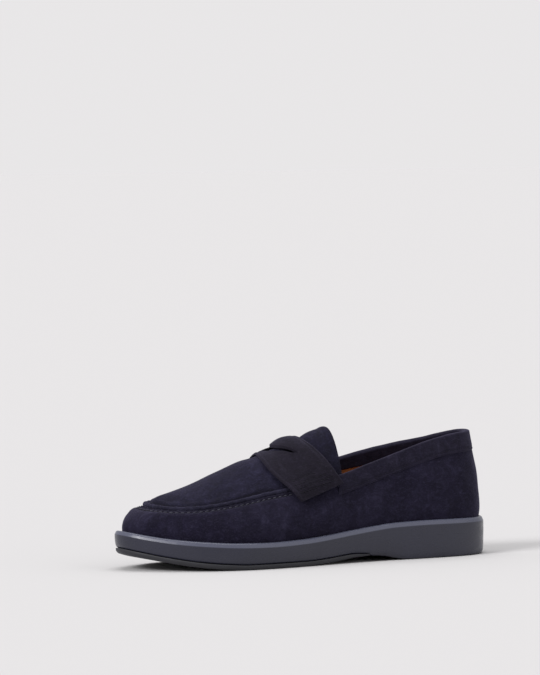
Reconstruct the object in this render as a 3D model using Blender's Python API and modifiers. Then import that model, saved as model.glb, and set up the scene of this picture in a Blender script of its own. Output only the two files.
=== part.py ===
"""Penny loafer, left shoe: moulded cup sole, suede wall, apron and tongue, saddle strap,
linings and the hidden bottom parts, each as its own solid.

Design frame of the tables, in millimetres:
  s  distance forward from the back of the heel
  y  across the shoe, lateral side negative, medial side positive
  z  up from the ground
Object frame, in metres: +X to the heel, -X to the toe, +Y medial, +Z up,
origin on the ground under the middle of the outsole.
"""
import math

import bpy
import bmesh
import numpy as np

# ---------------------------------------------------------------- driving dimensions (mm)
LENGTH = 300.0            # outsole length
Y_SHIFT = 2.95            # puts the widest points of the sole level about the origin
RIM_RISE = 3.4            # bevelled top edge of the cup above its crease
RIM_INSET = 3.0
WALL_T = 1.3              # suede of the wall
APRON_T = 1.4
LINING_T = 0.85
STIFFENER_T = 0.75
BAND_T = 0.9
STRAP_T = 1.6
PIPING_R = 1.45
GAP = 0.3                 # between pieces that touch
PAD_T = 3.6               # forefoot tread
HEEL_PAD_T = 2.0
N_COL = 72                # columns round the shoe

# outline of the sole: (s, half width) from heel to toe, lateral then medial
OUT_LAT = [(0, 0), (4, 14), (12, 25), (25, 32.5), (50, 37.7), (75, 39.1), (100, 40.6), (125, 43.4),
           (150, 48), (175, 53.2), (200, 56.8), (215, 57.4), (230, 55.5), (250, 49), (268, 38.1),
           (283, 25.2), (288, 20.4), (294.5, 12.8), (298.6, 5.0)]
OUT_MED = [(300, 2.8), (298.8, 10.0), (294.3, 18.3), (288.5, 25.0), (283, 30.2), (268, 40.9), (250, 48.5), (230, 51.5),
           (215, 50.8), (200, 48.5), (175, 42.4), (150, 36.9), (125, 34.2), (100, 34.8), (75, 36.9),
           (50, 37.3), (25, 32.8), (12, 25), (4, 14)]
# sections of the wall: feather station, top edge (s, y, z), handles of its profile
# (bulge and height at the feather, bulge and height at the top)
LAT = [(0, 11.5, 0, 92.6, 2.5, .34, 3.8, .32), (6, 14.5, -10.5, 92.5, 2.5, .34, 3.8, .32),
       (18, 22, -19, 92.0, 2.5, .34, 4.0, .32), (38, 38, -25.2, 90.6, 2.4, .33, 4.4, .31),
       (60, 58, -28.4, 86.6, 2.4, .33, 4.7, .30), (82, 80, -30.6, 80.6, 2.5, .33, 4.6, .30),
       (104, 101, -32.5, 74.4, 2.6, .33, 4.4, .30), (124, 120, -34.3, 68.8, 2.8, .33, 4.4, .30),
       (142, 138, -36.3, 64.0, 3.3, .34, 5.6, .28), (160, 156, -38.0, 59.4, 3.8, .35, 7.6, .25),
       (180, 176, -39.2, 55.4, 3.7, .36, 9.0, .22), (200, 196, -39.6, 52.6, 3.3, .38, 9.6, .20),
       (220, 214, -39.2, 49.2, 3.1, .41, 9.4, .17), (240, 232, -37.4, 46.2, 2.8, .45, 9.0, .14),
       (257, 247, -33.6, 44.4, 2.2, .50, 9.0, .12), (272, 259.5, -27.3, 43.8, 1.6, .54, 9.0, .11),
       (286, 268.5, -18.0, 44.0, 1.0, .58, 9.0, .10), (296, 273.3, -7.0, 44.7, 0.7, .60, 9.0, .10)]
TIP = [(300, 275, 4.5, 45.3, 0.6, .60, 9.0, .10)]
MED = [(297, 273.2, 15.5, 45.5, 0.7, .60, 9.0, .10), (288, 268.3, 24.3, 45.5, 1.0, .58, 9.0, .10),
       (274, 259.2, 31.2, 45.8, 1.5, .54, 9.0, .11), (258, 246.5, 35.6, 46.6, 2.0, .50, 9.0, .12),
       (241, 231, 37.4, 48.4, 2.5, .45, 9.0, .14), (221, 213, 37.4, 51.4, 2.8, .41, 9.2, .17),
       (201, 195, 36.4, 54.4, 2.8, .38, 8.8, .20), (181, 175.5, 34.8, 57.2, 2.8, .36, 7.6, .22),
       (161, 156, 33.2, 61.4, 2.7, .35, 6.0, .25), (143, 138, 32.0, 66.0, 2.5, .34, 4.6, .28),
       (125, 120, 31.0, 70.0, 2.4, .33, 4.0, .30), (105, 101, 30.2, 74.4, 2.4, .33, 4.0, .30),
       (83, 80, 29.2, 79.0, 2.4, .33, 4.2, .30), (61, 58, 27.8, 83.0, 2.4, .33, 4.4, .30),
       (39, 38, 24.6, 86.4, 2.4, .33, 4.3, .31), (19, 22.5, 18.8, 89.6, 2.5, .34, 4.0, .32),
       (7, 14.6, 10.2, 91.8, 2.5, .34, 3.8, .32)]
# crest of the apron and tongue
CREST = [(120, 102.2), (129, 100.2), (136, 98.2), (143.6, 95.6), (147.5, 93.3), (150, 91.2), (153, 89.5),
         (158, 88.0), (168, 85.3), (179, 81.6), (186, 79.1), (190, 78.1), (196.7, 76.6), (208.5, 72.4),
         (220, 67.7), (232, 62.7), (243.8, 58.8), (255.5, 55.6), (267, 52.9), (275, 50.9), (285, 48)]
# where each column's rib leaves the crest
SPINE_S = [(14, 120), (15, 129), (16, 137.5), (18, 155.5), (20, 174.5), (22, 194), (24, 211.5), (26, 227),
           (28, 239.5), (30, 248.5), (32, 255), (34, 259.5), (36, 262.5)]
SPINE_Y = [(120, 2.5), (180, 3), (240, 3.5), (262, 4.2), (275, 4.5)]
# middle surface of the strap: front edge, rear edge at stations from the lateral to the medial end
STRAP = [((171.8, -49.2, 46.0), (133.4, -42.0, 58.4)), ((175.6, -46.9, 51.6), (135.5, -41.0, 63.2)),
         ((179.2, -43.3, 57.0), (137.6, -39.0, 67.8)), ((183.9, -35.8, 63.0), (140.8, -34.0, 74.4)),
         ((188.7, -25.8, 70.9), (146.6, -24.4, 82.4)), ((190.6, -13.3, 77.6), (151.0, -12.4, 89.6)),
         ((190.3, 3.0, 80.2), (151.7, 3.0, 92.3)), ((190.4, 15.9, 77.7), (151.0, 14.8, 89.6)),
         ((188.4, 25.8, 71.4), (146.6, 23.8, 82.4)), ((183.9, 33.6, 63.6), (140.9, 31.8, 74.6)),
         ((178.9, 39.4, 57.0), (137.6, 36.0, 67.8)), ((175.5, 42.6, 51.4), (135.5, 37.8, 63.2)),
         ((171.8, 43.6, 46.0), (133.4, 38.6, 58.6))]
CROWN = [(0, 0), (.23, .25), (.35, .5), (.5, .85), (.67, 1), (.85, .7), (1, 0)]   # padded rear half of the strap
CROWN_H = 3.7
# crescent slot in the strap, in plan, one half: front edge then rear edge back to the middle
SLOT_FRONT = [(179.6, 3), (178.2, -4), (175.0, -10), (170.8, -15.4), (166.0, -19.8)]
SLOT_REAR = [(163.4, -21.0), (164.4, -18.4), (168.4, -12.0), (171.0, -5), (171.6, 3)]


# ---------------------------------------------------------------- curves through tables
def pchip(table, x):
    """Monotone curve through (x, y) pairs."""
    xs = np.array([p[0] for p in table], float)
    ys = np.array([p[1] for p in table], float)
    x = np.clip(np.asarray(x, float), xs[0], xs[-1])
    h = np.diff(xs)
    d = np.diff(ys) / h
    m = np.zeros(len(xs))
    for i in range(1, len(xs) - 1):
        if d[i - 1] * d[i] > 0:
            w1 = 2 * h[i] + h[i - 1]
            w2 = h[i] + 2 * h[i - 1]
            m[i] = (w1 + w2) / (w1 / d[i - 1] + w2 / d[i])
    m[0], m[-1] = d[0], d[-1]
    k = np.clip(np.searchsorted(xs, x, side='right') - 1, 0, len(xs) - 2)
    t = (x - xs[k]) / h[k]
    return ((2 * t**3 - 3 * t**2 + 1) * ys[k] + (t**3 - 2 * t**2 + t) * h[k] * m[k]
            + (-2 * t**3 + 3 * t**2) * ys[k + 1] + (t**3 - t**2) * h[k] * m[k + 1])


def spline(xs, ys, x, closed=False):
    """Cubic spline through rows of ys, natural or periodic."""
    xs = np.asarray(xs, float)
    ys = np.asarray(ys, float)
    n = len(xs)
    h = np.diff(xs)
    if closed:
        m = n - 1
        a = np.zeros((m, m))
        b = np.zeros((m, ys.shape[1]))
        for i in range(m):
            hm, hp = h[i - 1], h[i]
            a[i, (i - 1) % m] += hm
            a[i, i] += 2 * (hm + hp)
            a[i, (i + 1) % m] += hp
            b[i] = 6 * ((ys[i + 1] - ys[i]) / hp - (ys[i] - ys[i - 1 if i else m - 1]) / hm)
        curv = np.linalg.solve(a, b)
        curv = np.vstack([curv, curv[:1]])
        x = (np.asarray(x, float) - xs[0]) % (xs[-1] - xs[0]) + xs[0]
    else:
        a = np.zeros((n, n))
        b = np.zeros((n, ys.shape[1]))
        a[0, 0] = a[-1, -1] = 1
        for i in range(1, n - 1):
            a[i, i - 1], a[i, i], a[i, i + 1] = h[i - 1], 2 * (h[i - 1] + h[i]), h[i]
            b[i] = 6 * ((ys[i + 1] - ys[i]) / h[i] - (ys[i] - ys[i - 1]) / h[i - 1])
        curv = np.linalg.solve(a, b)
        x = np.asarray(x, float)
    k = np.clip(np.searchsorted(xs, x, side='right') - 1, 0, n - 2)
    hh = (xs[k + 1] - xs[k])[:, None]
    p = (xs[k + 1] - x)[:, None] / hh
    q = (x - xs[k])[:, None] / hh
    return p * ys[k] + q * ys[k + 1] + ((p**3 - p) * curv[k] + (q**3 - q) * curv[k + 1]) * hh**2 / 6


# ---------------------------------------------------------------- sole lines
CTRL = np.array([(s, -y) for s, y in OUT_LAT] + [(s, y) for s, y in OUT_MED] + [(0, 0)], float)
CTRL_T = np.concatenate([[0], np.cumsum(np.hypot(*np.diff(CTRL, axis=0).T))])
PERIMETER = CTRL_T[-1]


def outline(t):
    return spline(CTRL_T, CTRL, t, closed=True)


def outline_normal(t):
    a = outline(t + 0.5) - outline(t - 0.5)
    a /= np.linalg.norm(a, axis=1)[:, None]
    return np.stack([a[:, 1], -a[:, 0]], 1)


def z_crease(s):
    """Widest line of the cup wall."""
    return pchip([(0, 24.6), (25, 25.0), (60, 25.3), (90, 24.7), (110, 23.0), (130, 20.8), (150, 18.6),
                  (170, 17.0), (200, 16.1), (225, 16.6), (250, 18.1), (270, 20.2), (285, 22.8),
                  (300, 26.3)], s)


def z_ground(s):
    """Underside: heel, arch, flat ball, toe spring."""
    return pchip([(0, 1.2), (10, 0), (76, 0), (88, 1.2), (100, 3.6), (112, 4.6), (125, 4.0), (140, 2.2),
                  (158, 0.5), (170, 0), (218, 0), (235, 0.9), (255, 3.0), (275, 6.6), (290, 10.2),
                  (300, 13.0)], s)


def z_floor(s):
    """Floor inside the cup."""
    return pchip([(0, 18), (60, 17.5), (90, 15.5), (120, 12), (160, 9.5), (220, 9), (255, 11.5),
                  (275, 15), (300, 21)], s)


def pad_thickness(s):
    return pchip([(112, 0.9), (135, 3.2), (165, PAD_T), (300, PAD_T)], s)


def z_rim(s):
    return z_crease(s) + RIM_RISE


def margin(k):
    """Lasting margin turned under the board, narrower round the tight curve of the toe."""
    return pchip([(0, 11.5), (24, 11.5), (30, 8.0), (33, 5.0), (36, 3.2)], np.minimum(k, N_COL - k))


def feather_inset(s):
    """How far the upper stands in from the sole's edge."""
    return pchip([(0, 3.5), (60, 4.2), (150, 4.9), (230, 5.3), (300, 5.6)], s)


_dense_t = np.linspace(0, PERIMETER, 2001)[:-1]
_dense = outline(_dense_t)
_tip = int(np.argmax(_dense[:, 0]))
T_TIP = float(_dense_t[_tip])


def t_of_s(s, lateral):
    if lateral:
        return float(np.interp(s, _dense[:_tip + 1, 0], _dense_t[:_tip + 1]))
    return float(np.interp(s, _dense[_tip:, 0][::-1], _dense_t[_tip:][::-1]))


KEYS = [((t_of_s(r[0], True) if r[0] else 0.0),) + r[1:] for r in LAT]
KEYS += [(T_TIP,) + TIP[0][1:]]
KEYS += [(t_of_s(r[0], False),) + r[1:] for r in MED]
KEYS = np.array(KEYS + [(PERIMETER,) + KEYS[0][1:]])


def column_t(k):
    """Perimeter position of column k (two columns to each table section)."""
    k = np.asarray(k, float) % N_COL
    return np.interp(k, np.arange(0, N_COL + 1, 2), KEYS[:, 0])


def top_edge(t):
    return spline(KEYS[:, 0], KEYS[:, 1:4], t, closed=True)


def feather(t):
    o = outline(t)
    n = outline_normal(t)
    s = np.clip(o[:, 0], 0, LENGTH)
    return np.column_stack([o - n * feather_inset(s)[:, None], z_rim(s)]), n


def wall_point(t, h):
    """Outer face of the wall: h is 0 at the sole's rim and 1 at the top edge."""
    t = np.atleast_1d(np.asarray(t, float))
    h = np.broadcast_to(np.asarray(h, float), t.shape)[:, None]
    f, n = feather(t)
    p = top_edge(t)
    k = spline(KEYS[:, 0], KEYS[:, 4:8], t, closed=True)
    out = np.column_stack([n, np.zeros(len(n))])
    up = np.array([0, 0, 1.0])
    dz = (p[:, 2] - f[:, 2])[:, None]
    b1 = f + out * k[:, :1] + up * k[:, 1:2] * dz
    b2 = p + out * k[:, 2:3] - up * k[:, 3:4] * dz
    g = 1 - h
    return g**3 * f + 3 * g * g * h * b1 + 3 * g * h * h * b2 + h**3 * p


# ---------------------------------------------------------------- apron surface
def z_crest(s):
    return pchip(CREST, s)


def apron_edge(t):
    p = top_edge(t)
    e = 0.6
    a = top_edge(t + e)[:, :2] - top_edge(t - e)[:, :2]
    a /= np.linalg.norm(a, axis=1)[:, None]
    n = -np.stack([a[:, 1], -a[:, 0]], 1)
    s = p[:, 0]
    inset = pchip([(120, 6.2), (150, 5.6), (168, 3.3), (190, 3.2), (300, 3.2)], s)
    rise = pchip([(120, -2.5), (150, -1.5), (168, 1.2), (190, 1.4), (300, 1.2)], s)
    q = p.copy()
    q[:, :2] += n * inset[:, None]
    q[:, 2] += rise
    return q


def apron_rib(k, ratios, offset=0.0):
    """Points of the rib at column k, from the crest (ratio 0) to the seam (ratio 1)."""
    edge = apron_edge(column_t([k]))[0]
    ss = float(pchip(SPINE_S, min(k, N_COL - k)))
    ys = float(pchip(SPINE_Y, ss))
    r = np.asarray(ratios, float)
    s = ss + (edge[0] - ss) * r
    y = ys + (edge[1] - ys) * r
    e = float(pchip([(120, 2.3), (160, 2.3), (200, 2.2), (240, 2.1), (300, 2.0)], edge[0]))
    z = z_crest(s) - (float(z_crest(edge[0])) - edge[2]) * r**e
    return np.stack([s, y, z], 1)


# ---------------------------------------------------------------- Blender helpers
def world(p):
    """Design frame (mm) to object frame (m)."""
    p = np.asarray(p, float).reshape(-1, 3)
    return np.stack([(LENGTH / 2 - p[:, 0]), p[:, 1] + Y_SHIFT, p[:, 2]], 1) / 1000.0


for old in list(bpy.data.objects):
    bpy.data.objects.remove(old, do_unlink=True)
parts = bpy.data.collections.new("penny_loafer")
cutters = bpy.data.collections.new("cutters")
bpy.context.scene.collection.children.link(parts)
bpy.context.scene.collection.children.link(cutters)


def material(name, rgb, rough, metal=0.0):
    mat = bpy.data.materials.new(name)
    mat.use_nodes = True
    shader = mat.node_tree.nodes["Principled BSDF"]
    shader.inputs["Base Color"].default_value = (*rgb, 1.0)
    shader.inputs["Roughness"].default_value = rough
    shader.inputs["Metallic"].default_value = metal
    mat.diffuse_color = (*rgb, 1.0)
    return mat


def add_object(name, mesh, mat, home=None):
    obj = bpy.data.objects.new(name, mesh)
    (home or parts).objects.link(obj)
    if mat:
        obj.data.materials.append(mat)
    return obj


def mesh_from(name, pts, tris, smooth=True):
    """Mesh in the object frame, coincident points welded."""
    mesh = bpy.data.meshes.new(name)
    mesh.from_pydata([tuple(v) for v in world(pts)], [], [tuple(t) for t in tris])
    bm = bmesh.new()
    bm.from_mesh(mesh)
    bmesh.ops.remove_doubles(bm, verts=bm.verts[:], dist=0.00001)
    bm.to_mesh(mesh)
    bm.free()
    if smooth:
        mesh.shade_smooth()
        mesh.set_sharp_from_angle(angle=math.radians(38))
    return mesh


def grid_tris(n, m, closed=False):
    """Triangles of an n by m grid of points, first index slowest."""
    out = []
    for i in range(n if closed else n - 1):
        j = (i + 1) % n
        for c in range(m - 1):
            a, b = i * m + c, j * m + c
            out += [(a, b, b + 1), (a, b + 1, a + 1)]
    return out


def face_out(mesh, away_from):
    """Turn an open surface so that its faces look away from a line along the shoe."""
    total = 0.0
    for f in mesh.polygons:
        c = f.center
        d = (c.x - away_from[0] if away_from[0] is not None else 0.0, c.y - away_from[1], c.z - away_from[2])
        total += f.area * (f.normal.x * d[0] + f.normal.y * d[1] + f.normal.z * d[2])
    if total < 0:
        mesh.flip_normals()


def sheet(name, pts, tris, mat, thickness, where=-1.0, core=(None, 0.003, 0.03)):
    """Open surface thickened with Solidify; where -1 grows it inwards, 0 both ways."""
    mesh = mesh_from(name, pts, tris)
    face_out(mesh, core)
    obj = add_object(name, mesh, mat)
    mod = obj.modifiers.new("thickness", 'SOLIDIFY')
    mod.thickness = thickness / 1000.0
    mod.offset = where
    mod.use_rim = True
    return obj


def close_out(mesh):
    """Faces of a closed body pointing out."""
    bm = bmesh.new()
    bm.from_mesh(mesh)
    if bm.calc_volume(signed=True) < 0:
        bmesh.ops.reverse_faces(bm, faces=bm.faces[:])
    bm.to_mesh(mesh)
    bm.free()


def ladder(count, arc):
    """Triangles of a cap whose outline runs down one side of the shoe and back up the other."""
    tris = []
    if arc:
        pair = [(j, count - 1 - j) for j in range(count // 2)]
        last = count // 2
        for (a, b), (c, d) in zip(pair[:-1], pair[1:]):
            tris += [(a, c, b), (c, d, b)]
        a, b = pair[-1]
        tris.append((a, last, b))
    else:
        half = count // 2
        tris.append((0, 1, count - 1))
        for k in range(1, half - 1):
            a, b, c, d = k, k + 1, count - k, count - k - 1
            tris += [(a, b, c), (b, d, c)]
        tris.append((half - 1, half, half + 1))
    return tris


def ring_body(name, rings, mat, arc=False, home=None):
    """Closed body lofted through rings that all run round the shoe, capped at both ends."""
    m = len(rings[0])
    pts = np.vstack(rings)
    tris = []
    for i in range(len(rings) - 1):
        for k in range(m):
            a, b = i * m + k, i * m + (k + 1) % m
            tris += [(a, b, b + m), (a, b + m, a + m)]
    cap = ladder(m, arc)
    tris += [(c, b, a) for a, b, c in cap]
    top = (len(rings) - 1) * m
    tris += [(a + top, b + top, c + top) for a, b, c in cap]
    mesh = mesh_from(name, pts, tris)
    close_out(mesh)
    return add_object(name, mesh, mat, home)


def inset_ring(extra, height, columns=None, plain=False):
    """Ring parallel to the sole's edge; inset past the feather unless plain."""
    k = np.arange(N_COL) if columns is None else np.asarray(columns)
    t = column_t(k)
    o = outline(t)
    depth = extra + (0.0 if plain else feather_inset(np.clip(o[:, 0], 0, LENGTH)))
    p = o - outline_normal(t) * np.broadcast_to(depth, t.shape)[:, None]
    return np.column_stack([p, height(p[:, 0])])


def flat_outline(name, pts, z0, z1, mat=None, home=None):
    """Flat outline drawn as a filled curve, thickened to z0..z1 and made a mesh."""
    curve = bpy.data.curves.new(name + "_curve", 'CURVE')
    curve.dimensions = '2D'
    curve.fill_mode = 'BOTH'
    curve.extrude = (z1 - z0) / 2000.0
    line = curve.splines.new('POLY')
    line.points.add(len(pts) - 1)
    for p, (s, y) in zip(line.points, pts):
        x = world([(s, y, 0)])[0]
        p.co = (x[0], x[1], 0, 1)
    line.use_cyclic_u = True
    draft = bpy.data.objects.new(name + "_draft", curve)
    draft.location.z = (z0 + z1) / 2000.0
    parts.objects.link(draft)
    bpy.context.view_layer.update()
    graph = bpy.context.evaluated_depsgraph_get()
    mesh = bpy.data.meshes.new_from_object(draft.evaluated_get(graph))
    mesh.name = name
    bm = bmesh.new()
    bm.from_mesh(mesh)
    bmesh.ops.remove_doubles(bm, verts=bm.verts[:], dist=0.00001)
    bm.to_mesh(mesh)
    bm.free()
    close_out(mesh)
    obj = bpy.data.objects.new(name, mesh)
    obj.matrix_world = draft.matrix_world
    bpy.data.objects.remove(draft, do_unlink=True)
    (home or parts).objects.link(obj)
    if mat:
        mesh.materials.clear()
        mesh.materials.append(mat)
    return obj


def cut(obj, cutter):
    cutter.hide_render = True
    cutter.display_type = 'WIRE'
    mod = obj.modifiers.new("cut_" + cutter.name, 'BOOLEAN')
    mod.operation = 'DIFFERENCE'
    mod.solver = 'EXACT'
    mod.object = cutter


# ---------------------------------------------------------------- materials
NAVY = material("suede_navy", (0.022, 0.021, 0.045), 0.95)
STRAP_NAVY = material("suede_navy_strap", (0.026, 0.024, 0.040), 0.95)
THREAD = material("thread_navy", (0.035, 0.034, 0.055), 0.8)
SOLE = material("sole_rubber", (0.065, 0.075, 0.115), 0.45)
TREAD = material("tread_rubber", (0.040, 0.042, 0.055), 0.6)
TAN = material("lining_leather", (0.42, 0.13, 0.035), 0.5)
SOCK = material("sock_leather", (0.40, 0.13, 0.040), 0.5)
FOAM = material("foam", (0.70, 0.68, 0.60), 0.9)
BOARD = material("insole_board_fibre", (0.42, 0.32, 0.22), 0.85)
FELT = material("filler_felt", (0.30, 0.28, 0.25), 0.95)
STEEL = material("shank_steel", (0.45, 0.45, 0.46), 0.35, 1.0)
STIFF = material("stiffener_fibre", (0.62, 0.55, 0.44), 0.8)

# ---------------------------------------------------------------- cup sole and treads
TREAD_K = 13                       # column where the forefoot tread starts


def z_under(s):
    """Underside of the cup: raised over the forefoot tread."""
    lift = np.where(s > 112.5, pad_thickness(s) + GAP, 0.0)
    return z_ground(s) + lift


cup = ring_body("cup_sole", [
    inset_ring(3.2, z_under, plain=True),
    inset_ring(1.2, lambda s: z_under(s) + 0.7, plain=True),
    inset_ring(0.5, lambda s: z_under(s) + 2.6, plain=True),
    inset_ring(0.0, z_crease, plain=True),
    inset_ring(1.1, lambda s: z_crease(s) + 2.4, plain=True),
    inset_ring(RIM_INSET, z_rim, plain=True),
    inset_ring(-0.4, lambda s: z_rim(s) - 0.1),
    inset_ring(-0.4, z_floor)], SOLE)


def heel_outline(inset_mm, front):
    """Heel tread outline: parallel to the heel, hollowed at its front edge."""
    pts = []
    for k in range(-9, 10):
        p = inset_ring(inset_mm, z_ground, columns=[k % N_COL], plain=True)[0]
        if p[0] < front - 2:
            pts.append((p[0], p[1]))
    w = abs(pts[0][1]) + 0.4
    for a in np.linspace(-1, 1, 9):
        pts.append((front - 7 * (1 - a * a), w * a))
    return pts


pocket = flat_outline("heel_tread_pocket", heel_outline(6.7, 68.3), -5.0, HEEL_PAD_T + GAP, home=cutters)
cut(cup, pocket)
flat_outline("heel_outsole", heel_outline(7.0, 68.0), 0.0, HEEL_PAD_T, TREAD)


def oval(cs, cy, a, b, n=24, power=2.6):
    pts = []
    for i in range(n):
        q = 2 * math.pi * i / n
        c, d = math.cos(q), math.sin(q)
        pts.append((cs + a * math.copysign(abs(c)**(2 / power), c),
                    cy + b * math.copysign(abs(d)**(2 / power), d)))
    return pts


hole = flat_outline("cushion_pocket", oval(37, 0, 22.3, 16.3), 9.0, 40.0, home=cutters)
cut(cup, hole)
flat_outline("heel_cushion", oval(37, 0, 22, 16), 9.3, 17.2, FOAM)

tread_cols = list(range(TREAD_K, N_COL - TREAD_K + 1))
ring_body("forefoot_outsole", [
    inset_ring(3.4, z_ground, columns=tread_cols, plain=True),
    inset_ring(1.3, lambda s: z_ground(s) + 0.25 * pad_thickness(s), columns=tread_cols, plain=True),
    inset_ring(0.7, lambda s: z_ground(s) + 0.6 * pad_thickness(s), columns=tread_cols, plain=True),
    inset_ring(0.7, lambda s: z_ground(s) + pad_thickness(s), columns=tread_cols, plain=True)],
    TREAD, arc=True)


# ---------------------------------------------------------------- bottom parts inside the cup
ALL_K = np.arange(N_COL)


def level(dz):
    return lambda s: z_floor(s) + dz


filler = ring_body("bottom_filler", [inset_ring(margin(ALL_K) + 1.2, level(0.3)),
                                     inset_ring(margin(ALL_K) + 1.2, level(1.5))], FELT)
slot = flat_outline("shank_slot", [(43, -7.4), (152, -7.4), (152, 7.4), (43, 7.4)], 5.0, 30.0, home=cutters)
cut(filler, slot)
stations = np.linspace(44, 151, 12)
pts, tris = [], []
for s in stations:
    z = float(z_floor(s))
    pts += [(s, -7, z + 0.35), (s, 7, z + 0.35), (s, 7, z + 1.4), (s, -7, z + 1.4)]
for i in range(len(stations) - 1):
    for c in range(4):
        a, b = 4 * i + c, 4 * i + (c + 1) % 4
        tris += [(a, b, b + 4), (a, b + 4, a + 4)]
last = 4 * (len(stations) - 1)
tris += [(2, 1, 0), (3, 2, 0), (last, last + 1, last + 2), (last, last + 2, last + 3)]
mesh = mesh_from("shank", pts, tris, smooth=False)
close_out(mesh)
add_object("shank", mesh, STEEL)

ring_body("insole_board", [inset_ring(2.2, level(1.9)), inset_ring(2.2, level(3.7))], BOARD)
ring_body("footbed_foam", [inset_ring(4.3, level(4.0)), inset_ring(4.3, level(7.0))], FOAM)
ring_body("sock_lining", [inset_ring(4.3, level(7.3)), inset_ring(4.3, level(8.3))], SOCK)

# ---------------------------------------------------------------- upper: one base grid for all layers
HEIGHTS = [0.12, 0.3, 0.5, 0.7, 0.88, 1.0]
ROWS = 6 + len(HEIGHTS)
tk = column_t(ALL_K)
base = np.zeros((N_COL, ROWS, 3))
base[:, 0] = inset_ring(margin(ALL_K), level(0.3))
base[:, 1] = inset_ring(2.0, level(0.3))
base[:, 2] = inset_ring(0.5, level(0.9))
base[:, 3] = inset_ring(0.0, level(2.6))
base[:, 4] = inset_ring(0.0, level(4.3))
base[:, 5] = feather(tk)[0]
for i, h in enumerate(HEIGHTS):
    base[:, 6 + i] = wall_point(tk, h)


def grid_normals(g):
    """Area-weighted corner normals of a grid closed in its first index."""
    n = np.zeros_like(g)
    m = g.shape[1]
    flat = g.reshape(-1, 3)
    acc = n.reshape(-1, 3)
    for a, b, c in grid_tris(len(g), m, closed=True):
        v = np.cross(flat[b] - flat[a], flat[c] - flat[a])
        acc[a] += v
        acc[b] += v
        acc[c] += v
    acc /= np.linalg.norm(acc, axis=1)[:, None]
    mid = flat.mean(axis=0)
    if ((flat - mid) * acc).sum() < 0:
        acc *= -1
    return acc.reshape(g.shape)


normal = grid_normals(base)


def column(g, k):
    """Column of a closed grid at a fractional index."""
    lo = int(math.floor(k))
    f = k - lo
    a, b = g[lo % N_COL], g[(lo + 1) % N_COL]
    return a if f < 1e-9 else a * (1 - f) + b * f


def wall_layer(name, columns, rows, depth, thickness, mat):
    """Layer of the wall: depth below the outer face, thickened inwards."""
    pts = []
    for k in columns:
        p = column(base, k)[rows] - column(normal, k)[rows] * depth
        pts.append(p)
    pts = np.array(pts)
    return sheet(name, pts.reshape(-1, 3), grid_tris(len(columns), len(rows)), mat, thickness)


wall_layer("upper_wall", [0.06] + list(range(1, N_COL)) + [N_COL - 0.06], list(range(ROWS)), 0.0, WALL_T, NAVY)
wall_layer("heel_counter", list(range(-8, 9)), list(range(4, 9)), WALL_T + GAP, STIFFENER_T, STIFF)
wall_layer("toe_puff", list(range(28, 45)), list(range(4, 11)), WALL_T + GAP, STIFFENER_T, STIFF)
wall_layer("collar_foam", list(range(-14, 15)), list(range(9, 11)), WALL_T + GAP, STIFFENER_T, FOAM)
LINING_D = WALL_T + GAP + STIFFENER_T + GAP
wall_layer("quarter_lining", list(range(-16, 17)), list(range(4, 11)), LINING_D, LINING_T, TAN)
wall_layer("vamp_lining", [16.06] + list(range(17, 56)) + [55.94], list(range(4, 11)), LINING_D, LINING_T, TAN)

# ---------------------------------------------------------------- apron with tongue, and its lining
RATIOS = [0, .18, .36, .54, .70, .84, .94, 1.0]


def apron_grid(first, ratios):
    """Surface from rib `first` on the lateral side round the toe to its medial partner."""
    pts, tris = [], []
    for side in (0, 1):
        cols = range(first, N_COL // 2 + 1)
        start = len(pts)
        n = 0
        for k in cols:
            kk = k if side == 0 else N_COL - k
            pts += list(apron_rib(kk, ratios))
            n += 1
        m = len(ratios)
        cells = grid_tris(n - 1, m)
        for c in range(m - 1):     # the strip at the toe splits its cells the other way
            a, b = (n - 2) * m + c, (n - 1) * m + c
            cells += [(a, b, a + 1), (b, b + 1, a + 1)]
        for a, b, c in cells:
            t = (a + start, b + start, c + start)
            tris.append(t if side == 0 else (t[0], t[2], t[1]))
    return np.array(pts), tris


def offset_points(pts, tris, depth):
    """Move surface points along the averaged normals of their faces, upwards positive."""
    key = {}
    ids = []
    for p in pts:
        ids.append(key.setdefault(tuple(np.round(p, 4)), len(key)))
    acc = np.zeros((len(key), 3))
    for a, b, c in tris:
        v = np.cross(pts[b] - pts[a], pts[c] - pts[a])
        for i in (a, b, c):
            acc[ids[i]] += v
    acc /= np.linalg.norm(acc, axis=1)[:, None]
    if acc[:, 2].sum() < 0:
        acc *= -1
    return pts + acc[ids] * depth


pts, tris = apron_grid(15, RATIOS)
sheet("apron", pts, tris, NAVY, APRON_T, core=(None, 0.003, 0.0))
pts, tris = apron_grid(15, RATIOS[:6])
sheet("tongue_lining", offset_points(pts, tris, -(APRON_T + GAP)), tris, TAN, LINING_T, core=(None, 0.003, 0.0))

# ridge along the apron seam
pip = []
for k in range(20, N_COL - 19):
    t = column_t([k])
    p = top_edge(t)[0]
    q = apron_edge(t)[0]
    d = q[:2] - p[:2]
    d /= np.linalg.norm(d)
    pip.append((p[0] + d[0] * 1.5, p[1] + d[1] * 1.5, p[2] + 1.85))
curve = bpy.data.curves.new("apron_piping", 'CURVE')
curve.dimensions = '3D'
curve.bevel_depth = PIPING_R / 1000.0
curve.bevel_resolution = 2
curve.use_fill_caps = True
line = curve.splines.new('POLY')
line.points.add(len(pip) - 1)
for p, q in zip(line.points, world(pip)):
    p.co = (*q, 1)
add_object("apron_piping", curve, NAVY)


# ---------------------------------------------------------------- sewing threads
THREAD_R = 0.35


def thread(name, pts, radius, mat):
    """One continuous thread through the given points."""
    data = bpy.data.curves.new(name, 'CURVE')
    data.dimensions = '3D'
    data.bevel_depth = radius / 1000.0
    data.bevel_resolution = 2
    data.use_fill_caps = True
    run = data.splines.new('POLY')
    run.points.add(len(pts) - 1)
    for p, q in zip(run.points, world(pts)):
        p.co = (*q, 1)
    return add_object(name, data, mat)


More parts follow.
